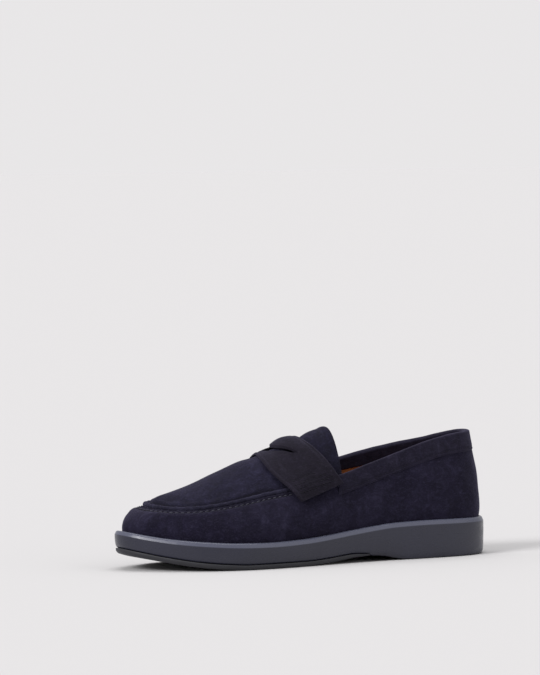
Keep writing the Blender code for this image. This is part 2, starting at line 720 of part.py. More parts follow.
def wall_frame(t, h):
    """Point of the wall, unit direction along the shoe and unit normal out of it."""
    ta = np.atleast_1d(np.asarray(t, float))
    q = wall_point(ta, h)[0]
    along = wall_point(ta + 0.5, h)[0] - wall_point(ta - 0.5, h)[0]
    rise = wall_point(ta, min(h + 0.02, 1.0))[0] - wall_point(ta, h - 0.02)[0]
    out = np.cross(along, rise)
    out /= np.linalg.norm(out)
    mid = np.array([min(max(q[0], 40.0), 215.0), 3.0, q[2] - 6.0])
    if np.dot(out, q - mid) < 0:
        out = -out
    return q, along / np.linalg.norm(along), out


run = []
for k in [20.3] + list(range(21, N_COL - 20)) + [N_COL - 20.3]:
    q = column(base, k)[10] * 0.45 + column(base, k)[11] * 0.55
    n = column(normal, k)[10] * 0.45 + column(normal, k)[11] * 0.55
    run.append(q + n * (GAP + THREAD_R))
thread("apron_thread", run, THREAD_R, THREAD)

# ---------------------------------------------------------------- saddle strap
front = np.array([a for a, b in STRAP])
rear = np.array([b for a, b in STRAP])
V = np.arange(len(STRAP), dtype=float)


def strap_point(v, w, lift=0.0):
    """Middle surface: v along the strap, w from its front edge (0) to its rear edge (1)."""
    v = np.atleast_1d(np.asarray(v, float))
    a, b = spline(V, front, v), spline(V, rear, v)
    p = a * (1 - w) + b * w
    e = 0.05
    du = spline(V, front, v + e) * (1 - w) + spline(V, rear, v + e) * w - \
        (spline(V, front, v - e) * (1 - w) + spline(V, rear, v - e) * w)
    n = np.cross(du, b - a)
    n /= np.linalg.norm(n, axis=1)[:, None]
    flip = np.where(((p - np.array([165, 3, 30.0])) * n).sum(1) < 0, -1.0, 1.0)
    fade = np.cos(np.pi / 2 * np.clip(np.abs(v - 6) / 5, 0, 1))**2
    return p + n * (flip * (lift + CROWN_H * float(pchip(CROWN, w)) * fade))[:, None]


cols = np.concatenate([np.arange(0, 12.01, 0.5)])
rows = np.linspace(0, 1, 8)
pts = np.array([strap_point(cols, w) for w in rows]).transpose(1, 0, 2)
strap = sheet("saddle_strap", pts.reshape(-1, 3), grid_tris(len(cols), len(rows)), STRAP_NAVY, STRAP_T, where=0.0,
              core=(None, 0.003, 0.03))
half = SLOT_FRONT + SLOT_REAR
other = [(s, 6.0 - y) for s, y in SLOT_REAR[::-1][1:]] + [(s, 6.0 - y) for s, y in SLOT_FRONT[::-1][:-1]]
cut(strap, flat_outline("strap_slot", half + other, 60.0, 120.0, home=cutters))

for name, mirror in (("strap_thread_lateral", False), ("strap_thread_medial", True)):
    run = []
    for i, (v, w0, w1) in enumerate(((0.55, 0.12, 0.93), (1.55, 0.12, 0.88), (2.5, 0.12, 0.80))):
        ws = np.linspace(w0, w1, 6)
        for w in (ws if i % 2 == 0 else ws[::-1]):
            vv = 12 - v if mirror else v
            run.append(strap_point(vv, w, STRAP_T / 2 + GAP + 0.15 + THREAD_R)[0])
    thread(name, run, THREAD_R, THREAD)

# ---------------------------------------------------------------- collar band
BAND_DROP = 14.0


def band_section(k):
    """Folded band across the topline at column k: outer leg, fold, inner leg."""
    ta = np.atleast_1d(column_t(k))
    foot, _ = feather(ta)
    p = top_edge(ta)[0]
    rise = p[2] - foot[0][2]

    def at(h):
        q, along, n = wall_frame(ta, h)
        up = wall_point(ta, min(h + 0.02, 1.0))[0] - wall_point(ta, h - 0.02)[0]
        return q, n, up / np.linalg.norm(up)
    h0 = 1 - BAND_DROP / rise
    sec = []
    for h in (h0, h0 + (1 - h0) * 0.5, 1.0):
        q, n, up = at(h)
        sec.append(q + n * 0.78)
    q, n, up = at(1.0)
    for off, height in ((0.15, 0.75), (-1.75, 1.05), (-3.7, 0.75)):
        sec.append(q + n * off + up * height)
    for h in (1.0, h0 + (1 - h0) * 0.5, h0 + (1 - h0) * 0.05):
        q, n, up = at(h)
        sec.append(q - n * 4.35)
    return sec


band_cols = list(range(-16, 17))
pts = np.array([band_section(k) for k in band_cols])
mesh_tris = grid_tris(len(band_cols), pts.shape[1])
band_mesh = mesh_from("collar_band", pts.reshape(-1, 3), mesh_tris)
band = add_object("collar_band", band_mesh, NAVY)
mod = band.modifiers.new("thickness", 'SOLIDIFY')
mod.thickness = BAND_T / 1000.0
mod.offset = 0.0
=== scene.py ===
"""Looks of the penny loafer: fine surfaces of suede, leather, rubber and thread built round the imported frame."""
import math

import bpy
import bmesh
import numpy as np
from mathutils import Matrix, Vector

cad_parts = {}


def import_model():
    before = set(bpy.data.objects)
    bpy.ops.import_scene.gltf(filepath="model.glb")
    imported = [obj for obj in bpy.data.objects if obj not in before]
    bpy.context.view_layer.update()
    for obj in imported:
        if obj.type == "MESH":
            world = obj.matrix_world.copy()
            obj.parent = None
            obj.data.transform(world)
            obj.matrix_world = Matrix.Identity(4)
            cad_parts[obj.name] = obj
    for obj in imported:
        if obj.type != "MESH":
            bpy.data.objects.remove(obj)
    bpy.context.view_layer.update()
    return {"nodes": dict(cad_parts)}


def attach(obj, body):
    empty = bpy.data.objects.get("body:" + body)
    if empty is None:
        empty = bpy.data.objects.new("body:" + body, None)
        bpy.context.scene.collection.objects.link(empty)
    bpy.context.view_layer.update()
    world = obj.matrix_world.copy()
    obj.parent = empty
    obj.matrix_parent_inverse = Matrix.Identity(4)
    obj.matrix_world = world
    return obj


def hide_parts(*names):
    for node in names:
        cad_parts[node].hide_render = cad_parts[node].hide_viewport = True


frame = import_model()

NODES = frame["nodes"]

# ---------------------------------------------------------------- driving dimensions (mm)
LENGTH = 300.0            # outsole length
Y_SHIFT = 2.95            # puts the widest points of the sole level about the origin
RIM_RISE = 3.4            # bevelled top edge of the cup above its crease
RIM_INSET = 3.0
WALL_T = 1.3              # suede of the wall
APRON_T = 1.4
LINING_T = 0.85
STIFFENER_T = 0.75
BAND_T = 0.9
STRAP_T = 1.6
PIPING_R = 1.45
GAP = 0.3                 # between pieces that touch
PAD_T = 3.6               # forefoot tread
HEEL_PAD_T = 2.0
N_COL = 72                # columns round the shoe

# outline of the sole: (s, half width) from heel to toe, lateral then medial
OUT_LAT = [(0, 0), (4, 14), (12, 25), (25, 32.5), (50, 37.7), (75, 39.1), (100, 40.6), (125, 43.4),
           (150, 48), (175, 53.2), (200, 56.8), (215, 57.4), (230, 55.5), (250, 49), (268, 38.1),
           (283, 25.2), (288, 20.4), (294.5, 12.8), (298.6, 5.0)]
OUT_MED = [(300, 2.8), (298.8, 10.0), (294.3, 18.3), (288.5, 25.0), (283, 30.2), (268, 40.9), (250, 48.5), (230, 51.5),
           (215, 50.8), (200, 48.5), (175, 42.4), (150, 36.9), (125, 34.2), (100, 34.8), (75, 36.9),
           (50, 37.3), (25, 32.8), (12, 25), (4, 14)]
# sections of the wall: feather station, top edge (s, y, z), handles of its profile
# (bulge and height at the feather, bulge and height at the top)
LAT = [(0, 11.5, 0, 92.6, 2.5, .34, 3.8, .32), (6, 14.5, -10.5, 92.5, 2.5, .34, 3.8, .32),
       (18, 22, -19, 92.0, 2.5, .34, 4.0, .32), (38, 38, -25.2, 90.6, 2.4, .33, 4.4, .31),
       (60, 58, -28.4, 86.6, 2.4, .33, 4.7, .30), (82, 80, -30.6, 80.6, 2.5, .33, 4.6, .30),
       (104, 101, -32.5, 74.4, 2.6, .33, 4.4, .30), (124, 120, -34.3, 68.8, 2.8, .33, 4.4, .30),
       (142, 138, -36.3, 64.0, 3.3, .34, 5.6, .28), (160, 156, -38.0, 59.4, 3.8, .35, 7.6, .25),
       (180, 176, -39.2, 55.4, 3.7, .36, 9.0, .22), (200, 196, -39.6, 52.6, 3.3, .38, 9.6, .20),
       (220, 214, -39.2, 49.2, 3.1, .41, 9.4, .17), (240, 232, -37.4, 46.2, 2.8, .45, 9.0, .14),
       (257, 247, -33.6, 44.4, 2.2, .50, 9.0, .12), (272, 259.5, -27.3, 43.8, 1.6, .54, 9.0, .11),
       (286, 268.5, -18.0, 44.0, 1.0, .58, 9.0, .10), (296, 273.3, -7.0, 44.7, 0.7, .60, 9.0, .10)]
TIP = [(300, 275, 4.5, 45.3, 0.6, .60, 9.0, .10)]
MED = [(297, 273.2, 15.5, 45.5, 0.7, .60, 9.0, .10), (288, 268.3, 24.3, 45.5, 1.0, .58, 9.0, .10),
       (274, 259.2, 31.2, 45.8, 1.5, .54, 9.0, .11), (258, 246.5, 35.6, 46.6, 2.0, .50, 9.0, .12),
       (241, 231, 37.4, 48.4, 2.5, .45, 9.0, .14), (221, 213, 37.4, 51.4, 2.8, .41, 9.2, .17),
       (201, 195, 36.4, 54.4, 2.8, .38, 8.8, .20), (181, 175.5, 34.8, 57.2, 2.8, .36, 7.6, .22),
       (161, 156, 33.2, 61.4, 2.7, .35, 6.0, .25), (143, 138, 32.0, 66.0, 2.5, .34, 4.6, .28),
       (125, 120, 31.0, 70.0, 2.4, .33, 4.0, .30), (105, 101, 30.2, 74.4, 2.4, .33, 4.0, .30),
       (83, 80, 29.2, 79.0, 2.4, .33, 4.2, .30), (61, 58, 27.8, 83.0, 2.4, .33, 4.4, .30),
       (39, 38, 24.6, 86.4, 2.4, .33, 4.3, .31), (19, 22.5, 18.8, 89.6, 2.5, .34, 4.0, .32),
       (7, 14.6, 10.2, 91.8, 2.5, .34, 3.8, .32)]
# crest of the apron and tongue
CREST = [(120, 102.2), (129, 100.2), (136, 98.2), (143.6, 95.6), (147.5, 93.3), (150, 91.2), (153, 89.5),
         (158, 88.0), (168, 85.3), (179, 81.6), (186, 79.1), (190, 78.1), (196.7, 76.6), (208.5, 72.4),
         (220, 67.7), (232, 62.7), (243.8, 58.8), (255.5, 55.6), (267, 52.9), (275, 50.9), (285, 48)]
# where each column's rib leaves the crest
SPINE_S = [(14, 120), (15, 129), (16, 137.5), (18, 155.5), (20, 174.5), (22, 194), (24, 211.5), (26, 227),
           (28, 239.5), (30, 248.5), (32, 255), (34, 259.5), (36, 262.5)]
SPINE_Y = [(120, 2.5), (180, 3), (240, 3.5), (262, 4.2), (275, 4.5)]
# middle surface of the strap: front edge, rear edge at stations from the lateral to the medial end
STRAP = [((171.8, -49.2, 46.0), (133.4, -42.0, 58.4)), ((175.6, -46.9, 51.6), (135.5, -41.0, 63.2)),
         ((179.2, -43.3, 57.0), (137.6, -39.0, 67.8)), ((183.9, -35.8, 63.0), (140.8, -34.0, 74.4)),
         ((188.7, -25.8, 70.9), (146.6, -24.4, 82.4)), ((190.6, -13.3, 77.6), (151.0, -12.4, 89.6)),
         ((190.3, 3.0, 80.2), (151.7, 3.0, 92.3)), ((190.4, 15.9, 77.7), (151.0, 14.8, 89.6)),
         ((188.4, 25.8, 71.4), (146.6, 23.8, 82.4)), ((183.9, 33.6, 63.6), (140.9, 31.8, 74.6)),
         ((178.9, 39.4, 57.0), (137.6, 36.0, 67.8)), ((175.5, 42.6, 51.4), (135.5, 37.8, 63.2)),
         ((171.8, 43.6, 46.0), (133.4, 38.6, 58.6))]
CROWN = [(0, 0), (.23, .25), (.35, .5), (.5, .85), (.67, 1), (.85, .7), (1, 0)]   # padded rear half of the strap
CROWN_H = 3.7
# crescent slot in the strap, in plan, one half: front edge then rear edge back to the middle
SLOT_FRONT = [(179.6, 3), (178.2, -4), (175.0, -10), (170.8, -15.4), (166.0, -19.8)]
SLOT_REAR = [(163.4, -21.0), (164.4, -18.4), (168.4, -12.0), (171.0, -5), (171.6, 3)]


# ---------------------------------------------------------------- curves through tables
def pchip(table, x):
    """Monotone curve through (x, y) pairs."""
    xs = np.array([p[0] for p in table], float)
    ys = np.array([p[1] for p in table], float)
    x = np.clip(np.asarray(x, float), xs[0], xs[-1])
    h = np.diff(xs)
    d = np.diff(ys) / h
    m = np.zeros(len(xs))
    for i in range(1, len(xs) - 1):
        if d[i - 1] * d[i] > 0:
            w1 = 2 * h[i] + h[i - 1]
            w2 = h[i] + 2 * h[i - 1]
            m[i] = (w1 + w2) / (w1 / d[i - 1] + w2 / d[i])
    m[0], m[-1] = d[0], d[-1]
    k = np.clip(np.searchsorted(xs, x, side='right') - 1, 0, len(xs) - 2)
    t = (x - xs[k]) / h[k]
    return ((2 * t**3 - 3 * t**2 + 1) * ys[k] + (t**3 - 2 * t**2 + t) * h[k] * m[k]
            + (-2 * t**3 + 3 * t**2) * ys[k + 1] + (t**3 - t**2) * h[k] * m[k + 1])


def spline(xs, ys, x, closed=False):
    """Cubic spline through rows of ys, natural or periodic."""
    xs = np.asarray(xs, float)
    ys = np.asarray(ys, float)
    n = len(xs)
    h = np.diff(xs)
    if closed:
        m = n - 1
        a = np.zeros((m, m))
        b = np.zeros((m, ys.shape[1]))
        for i in range(m):
            hm, hp = h[i - 1], h[i]
            a[i, (i - 1) % m] += hm
            a[i, i] += 2 * (hm + hp)
            a[i, (i + 1) % m] += hp
            b[i] = 6 * ((ys[i + 1] - ys[i]) / hp - (ys[i] - ys[i - 1 if i else m - 1]) / hm)
        curv = np.linalg.solve(a, b)
        curv = np.vstack([curv, curv[:1]])
        x = (np.asarray(x, float) - xs[0]) % (xs[-1] - xs[0]) + xs[0]
    else:
        a = np.zeros((n, n))
        b = np.zeros((n, ys.shape[1]))
        a[0, 0] = a[-1, -1] = 1
        for i in range(1, n - 1):
            a[i, i - 1], a[i, i], a[i, i + 1] = h[i - 1], 2 * (h[i - 1] + h[i]), h[i]
            b[i] = 6 * ((ys[i + 1] - ys[i]) / h[i] - (ys[i] - ys[i - 1]) / h[i - 1])
        curv = np.linalg.solve(a, b)
        x = np.asarray(x, float)
    k = np.clip(np.searchsorted(xs, x, side='right') - 1, 0, n - 2)
    hh = (xs[k + 1] - xs[k])[:, None]
    p = (xs[k + 1] - x)[:, None] / hh
    q = (x - xs[k])[:, None] / hh
    return p * ys[k] + q * ys[k + 1] + ((p**3 - p) * curv[k] + (q**3 - q) * curv[k + 1]) * hh**2 / 6


# ---------------------------------------------------------------- sole lines
CTRL = np.array([(s, -y) for s, y in OUT_LAT] + [(s, y) for s, y in OUT_MED] + [(0, 0)], float)
CTRL_T = np.concatenate([[0], np.cumsum(np.hypot(*np.diff(CTRL, axis=0).T))])
PERIMETER = CTRL_T[-1]


def outline(t):
    return spline(CTRL_T, CTRL, t, closed=True)


def outline_normal(t):
    a = outline(t + 0.5) - outline(t - 0.5)
    a /= np.linalg.norm(a, axis=1)[:, None]
    return np.stack([a[:, 1], -a[:, 0]], 1)


def z_crease(s):
    """Widest line of the cup wall."""
    return pchip([(0, 24.6), (25, 25.0), (60, 25.3), (90, 24.7), (110, 23.0), (130, 20.8), (150, 18.6),
                  (170, 17.0), (200, 16.1), (225, 16.6), (250, 18.1), (270, 20.2), (285, 22.8),
                  (300, 26.3)], s)


def z_ground(s):
    """Underside: heel, arch, flat ball, toe spring."""
    return pchip([(0, 1.2), (10, 0), (76, 0), (88, 1.2), (100, 3.6), (112, 4.6), (125, 4.0), (140, 2.2),
                  (158, 0.5), (170, 0), (218, 0), (235, 0.9), (255, 3.0), (275, 6.6), (290, 10.2),
                  (300, 13.0)], s)


def z_floor(s):
    """Floor inside the cup."""
    return pchip([(0, 18), (60, 17.5), (90, 15.5), (120, 12), (160, 9.5), (220, 9), (255, 11.5),
                  (275, 15), (300, 21)], s)


def pad_thickness(s):
    return pchip([(112, 0.9), (135, 3.2), (165, PAD_T), (300, PAD_T)], s)


def z_rim(s):
    return z_crease(s) + RIM_RISE


def margin(k):
    """Lasting margin turned under the board, narrower round the tight curve of the toe."""
    return pchip([(0, 11.5), (24, 11.5), (30, 8.0), (33, 5.0), (36, 3.2)], np.minimum(k, N_COL - k))


def feather_inset(s):
    """How far the upper stands in from the sole's edge."""
    return pchip([(0, 3.5), (60, 4.2), (150, 4.9), (230, 5.3), (300, 5.6)], s)


_dense_t = np.linspace(0, PERIMETER, 2001)[:-1]
_dense = outline(_dense_t)
_tip = int(np.argmax(_dense[:, 0]))
T_TIP = float(_dense_t[_tip])


def t_of_s(s, lateral):
    if lateral:
        return float(np.interp(s, _dense[:_tip + 1, 0], _dense_t[:_tip + 1]))
    return float(np.interp(s, _dense[_tip:, 0][::-1], _dense_t[_tip:][::-1]))


KEYS = [((t_of_s(r[0], True) if r[0] else 0.0),) + r[1:] for r in LAT]
KEYS += [(T_TIP,) + TIP[0][1:]]
KEYS += [(t_of_s(r[0], False),) + r[1:] for r in MED]
KEYS = np.array(KEYS + [(PERIMETER,) + KEYS[0][1:]])


def column_t(k):
    """Perimeter position of column k (two columns to each table section)."""
    k = np.asarray(k, float) % N_COL
    return np.interp(k, np.arange(0, N_COL + 1, 2), KEYS[:, 0])


def top_edge(t):
    return spline(KEYS[:, 0], KEYS[:, 1:4], t, closed=True)


def feather(t):
    o = outline(t)
    n = outline_normal(t)
    s = np.clip(o[:, 0], 0, LENGTH)
    return np.column_stack([o - n * feather_inset(s)[:, None], z_rim(s)]), n


def wall_point(t, h):
    """Outer face of the wall: h is 0 at the sole's rim and 1 at the top edge."""
    t = np.atleast_1d(np.asarray(t, float))
    h = np.broadcast_to(np.asarray(h, float), t.shape)[:, None]
    f, n = feather(t)
    p = top_edge(t)
    k = spline(KEYS[:, 0], KEYS[:, 4:8], t, closed=True)
    out = np.column_stack([n, np.zeros(len(n))])
    up = np.array([0, 0, 1.0])
    dz = (p[:, 2] - f[:, 2])[:, None]
    b1 = f + out * k[:, :1] + up * k[:, 1:2] * dz
    b2 = p + out * k[:, 2:3] - up * k[:, 3:4] * dz
    g = 1 - h
    return g**3 * f + 3 * g * g * h * b1 + 3 * g * h * h * b2 + h**3 * p


# ---------------------------------------------------------------- apron surface
def z_crest(s):
    return pchip(CREST, s)


def apron_edge(t):
    p = top_edge(t)
    e = 0.6
    a = top_edge(t + e)[:, :2] - top_edge(t - e)[:, :2]
    a /= np.linalg.norm(a, axis=1)[:, None]
    n = -np.stack([a[:, 1], -a[:, 0]], 1)
    s = p[:, 0]
    inset = pchip([(120, 6.2), (150, 5.6), (168, 3.3), (190, 3.2), (300, 3.2)], s)
    rise = pchip([(120, -2.5), (150, -1.5), (168, 1.2), (190, 1.4), (300, 1.2)], s)
    q = p.copy()
    q[:, :2] += n * inset[:, None]
    q[:, 2] += rise
    return q


def apron_rib(k, ratios, offset=0.0):
    """Points of the rib at column k, from the crest (ratio 0) to the seam (ratio 1)."""
    edge = apron_edge(column_t([k]))[0]
    ss = float(pchip(SPINE_S, min(k, N_COL - k)))
    ys = float(pchip(SPINE_Y, ss))
    r = np.asarray(ratios, float)
    s = ss + (edge[0] - ss) * r
    y = ys + (edge[1] - ys) * r
    e = float(pchip([(120, 2.3), (160, 2.3), (200, 2.2), (240, 2.1), (300, 2.0)], edge[0]))
    z = z_crest(s) - (float(z_crest(edge[0])) - edge[2]) * r**e
    return np.stack([s, y, z], 1)



# ---------------------------------------------------------------- mesh building
def world(p):
    """Design frame (mm) to object frame (m)."""
    p = np.asarray(p, float).reshape(-1, 3)
    return np.stack([(LENGTH / 2 - p[:, 0]), p[:, 1] + Y_SHIFT, p[:, 2]], 1) / 1000.0


def unit(v):
    return v / np.maximum(np.linalg.norm(v, axis=-1, keepdims=True), 1e-12)


RNG = np.random.default_rng(7)
WAVES = [(unit(RNG.normal(size=(1, 3)))[0], RNG.uniform(0, 6.28)) for _ in range(60)]


def soft_noise(p, wavelength, seed=0):
    """Smooth field of about -1..1 made of plane waves, wavelength in mm."""
    out = np.zeros(len(p))
    for i in range(10):
        d, ph = WAVES[(seed * 10 + i) % 60]
        out += np.sin((p @ d) * (6.283 / wavelength) * (0.7 + 0.07 * i) + ph + i)
    return out / 3.2


def grid_quads(n, m, closed=False):
    """Quads of an n by m grid of points, first index slowest."""
    i = np.arange(n if closed else n - 1)[:, None]
    c = np.arange(m - 1)[None, :]
    j = (i + 1) % n
    return np.stack([i * m + c, j * m + c, j * m + c + 1, i * m + c + 1], -1).reshape(-1, 4)


def vertex_normals(pts, quads):
    n = np.zeros_like(pts)
    a, b, c, d = (pts[quads[:, i]] for i in range(4))
    v = np.cross(c - a, d - b)
    for i in range(4):
        np.add.at(n, quads[:, i], v)
    return unit(n)


def weld(pts, quads, tol=1e-4):
    key = np.round(pts / tol).astype(np.int64)
    _, first, inv = np.unique(key, axis=0, return_index=True, return_inverse=True)
    inv = inv.reshape(-1)
    return pts[first], inv[quads], first, inv


def thick(pts, quads, d_out, d_in, toward=None):
    """Closed shell round an open surface: outer at d_out, inner at d_in below, edges bridged."""
    n = vertex_normals(pts, quads)
    if toward is not None and ((pts - np.asarray(toward)) * n).sum() < 0:
        n = -n
        quads = quads[:, ::-1]
    d_out = np.broadcast_to(d_out, len(pts))[:, None]
    d_in = np.broadcast_to(d_in, len(pts))[:, None]
    outer, inner = pts + n * d_out, pts - n * d_in
    e = np.concatenate([quads[:, [0, 1]], quads[:, [1, 2]], quads[:, [2, 3]], quads[:, [3, 0]]])
    e = e[e[:, 0] != e[:, 1]]
    lo, hi = e.min(1), e.max(1)
    code = lo * (len(pts) + 1) + hi
    u, inv, cnt = np.unique(code, return_inverse=True, return_counts=True)
    edge = e[cnt[inv.reshape(-1)] == 1]
    k = len(pts)
    side = np.stack([edge[:, 1], edge[:, 0], edge[:, 0] + k, edge[:, 1] + k], 1)
    return np.vstack([outer, inner]), np.vstack([quads, quads[:, ::-1] + k, side])


def make(name, pts, quads, mat, replaces=(), angle=42, zone=None, home=None):
    """Object from design-frame points and quads; doubled corners become triangles."""
    mesh = bpy.data.meshes.new(name)
    faces = []
    for q in np.asarray(quads).tolist():
        f = [q[0]]
        for x in q[1:]:
            if x != f[-1]:
                f.append(x)
        if f[0] == f[-1]:
            f.pop()
        if len(f) > 2 and len(set(f)) == len(f):
            faces.append(f)
    mesh.from_pydata(world(pts).tolist(), [], faces)
    bm = bmesh.new()
    bm.from_mesh(mesh)
    loose = [v for v in bm.verts if not v.link_faces]
    if loose:
        bmesh.ops.delete(bm, geom=loose, context='VERTS')
    bmesh.ops.recalc_face_normals(bm, faces=bm.faces[:])
    if bm.calc_volume(signed=True) < 0:
        bmesh.ops.reverse_faces(bm, faces=bm.faces[:])
    bm.to_mesh(mesh)
    bm.free()
    mesh.shade_smooth()
    if angle:
        mesh.set_sharp_from_angle(angle=math.radians(angle))
    obj = bpy.data.objects.new(name, mesh)
    bpy.context.scene.collection.objects.link(obj)
    if mat:
        mesh.materials.append(mat)
        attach(obj, "root")
        if replaces:
            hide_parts(*replaces)
    return obj


def smooth01(x):
    x = np.clip(x, 0, 1)
    return x * x * (3 - 2 * x)


def round_edge(x, r):
    """Loss of height at distance x from an edge rounded with radius r."""
    x = np.clip(x, 0, r)
    return r - np.sqrt(np.maximum(r * r - (r - x)**2, 0))


def fine(lo, hi, edges, inner):
    """Stations from lo to hi: close together at both ends by `edges`, else `inner` apart."""
    a = lo + np.array(edges)
    b = hi - np.array(edges)[::-1]
    n = max(2, int(round((b[0] - a[-1]) / inner)) + 1)
    return np.concatenate([a, np.linspace(a[-1], b[0], n)[1:-1], b])


def inset_ring(extra, height, columns, plain=False):
    k = np.asarray(columns, float)
    t = column_t(k)
    o = outline(t)
    depth = extra + (0.0 if plain else feather_inset(np.clip(o[:, 0], 0, LENGTH)))
    p = o - outline_normal(t) * np.broadcast_to(depth, t.shape)[:, None]
    return np.column_stack([p, height(p[:, 0])])


def tube(path, radius, sides=12, squash=1.0, up=None, taper=True, swell=None):
    """Closed tube along a path with round ends."""
    path = np.asarray(path, float)
    tan = unit(np.gradient(path, axis=0))
    ref = np.broadcast_to(np.array([0, 0, 1.0]) if up is None else up, path.shape)
    b = unit(np.cross(tan, ref))
    n = unit(np.cross(b, tan))
    r = np.full(len(path), radius)
    if swell is not None:
        r = r * swell
    if taper:
        r[0] *= .35
        r[-1] *= .35
    a = np.linspace(0, 2 * math.pi, sides, endpoint=False)
    ring = (np.cos(a)[None, :, None] * b[:, None] * r[:, None, None]
            + np.sin(a)[None, :, None] * n[:, None] * r[:, None, None] * squash)
    pts = (path[:, None] + ring).reshape(-1, 3)
    m = len(path)
    i = np.arange(m - 1)[:, None]
    c = np.arange(sides)[None, :]
    c2 = (c + 1) % sides
    quads = np.stack([i * sides + c, (i + 1) * sides + c, (i + 1) * sides + c2, i * sides + c2], -1).reshape(-1, 4)
    caps = []
    for base, flip in ((0, True), ((m - 1) * sides, False)):
        for j in range(sides // 2 - 1):
            q = [base + j, base + j + 1, base + sides - 2 - j, base + sides - 1 - j]
            caps.append(q[::-1] if flip else q)
    return pts, np.vstack([quads, np.array(caps)])


def gather(items):
    """Join several point and quad sets."""
    pts, quads, k = [], [], 0
    for p, q in items:
        pts.append(p)
        quads.append(q + k)
        k += len(p)
    return np.vstack(pts), np.vstack(quads)


def arc_at(path, step, start=0.0, end=None):
    """Points at even arc length along a polyline, with unit tangents."""
    d = np.concatenate([[0], np.cumsum(np.linalg.norm(np.diff(path, axis=0), axis=1))])
    end = d[-1] if end is None else end
    u = np.arange(start, end, step)
    p = np.stack([np.interp(u, d, path[:, i]) for i in range(path.shape[1])], 1)
    return p, u, d


def paint_shade(obj, values, count):
    """Float attribute of painted shade on the first `count` points: darker along seam grooves and in stitch dimples,
    where the nap is also pressed flat, and in the shade of the ridge and the strap.
    """
    attr = obj.data.attributes.new("painted_shade", 'FLOAT', 'POINT')
    full = np.zeros(len(obj.data.vertices))
    full[:count] = np.clip(values, 0, 1)[:len(full)]
    attr.data.foreach_set("value", full)

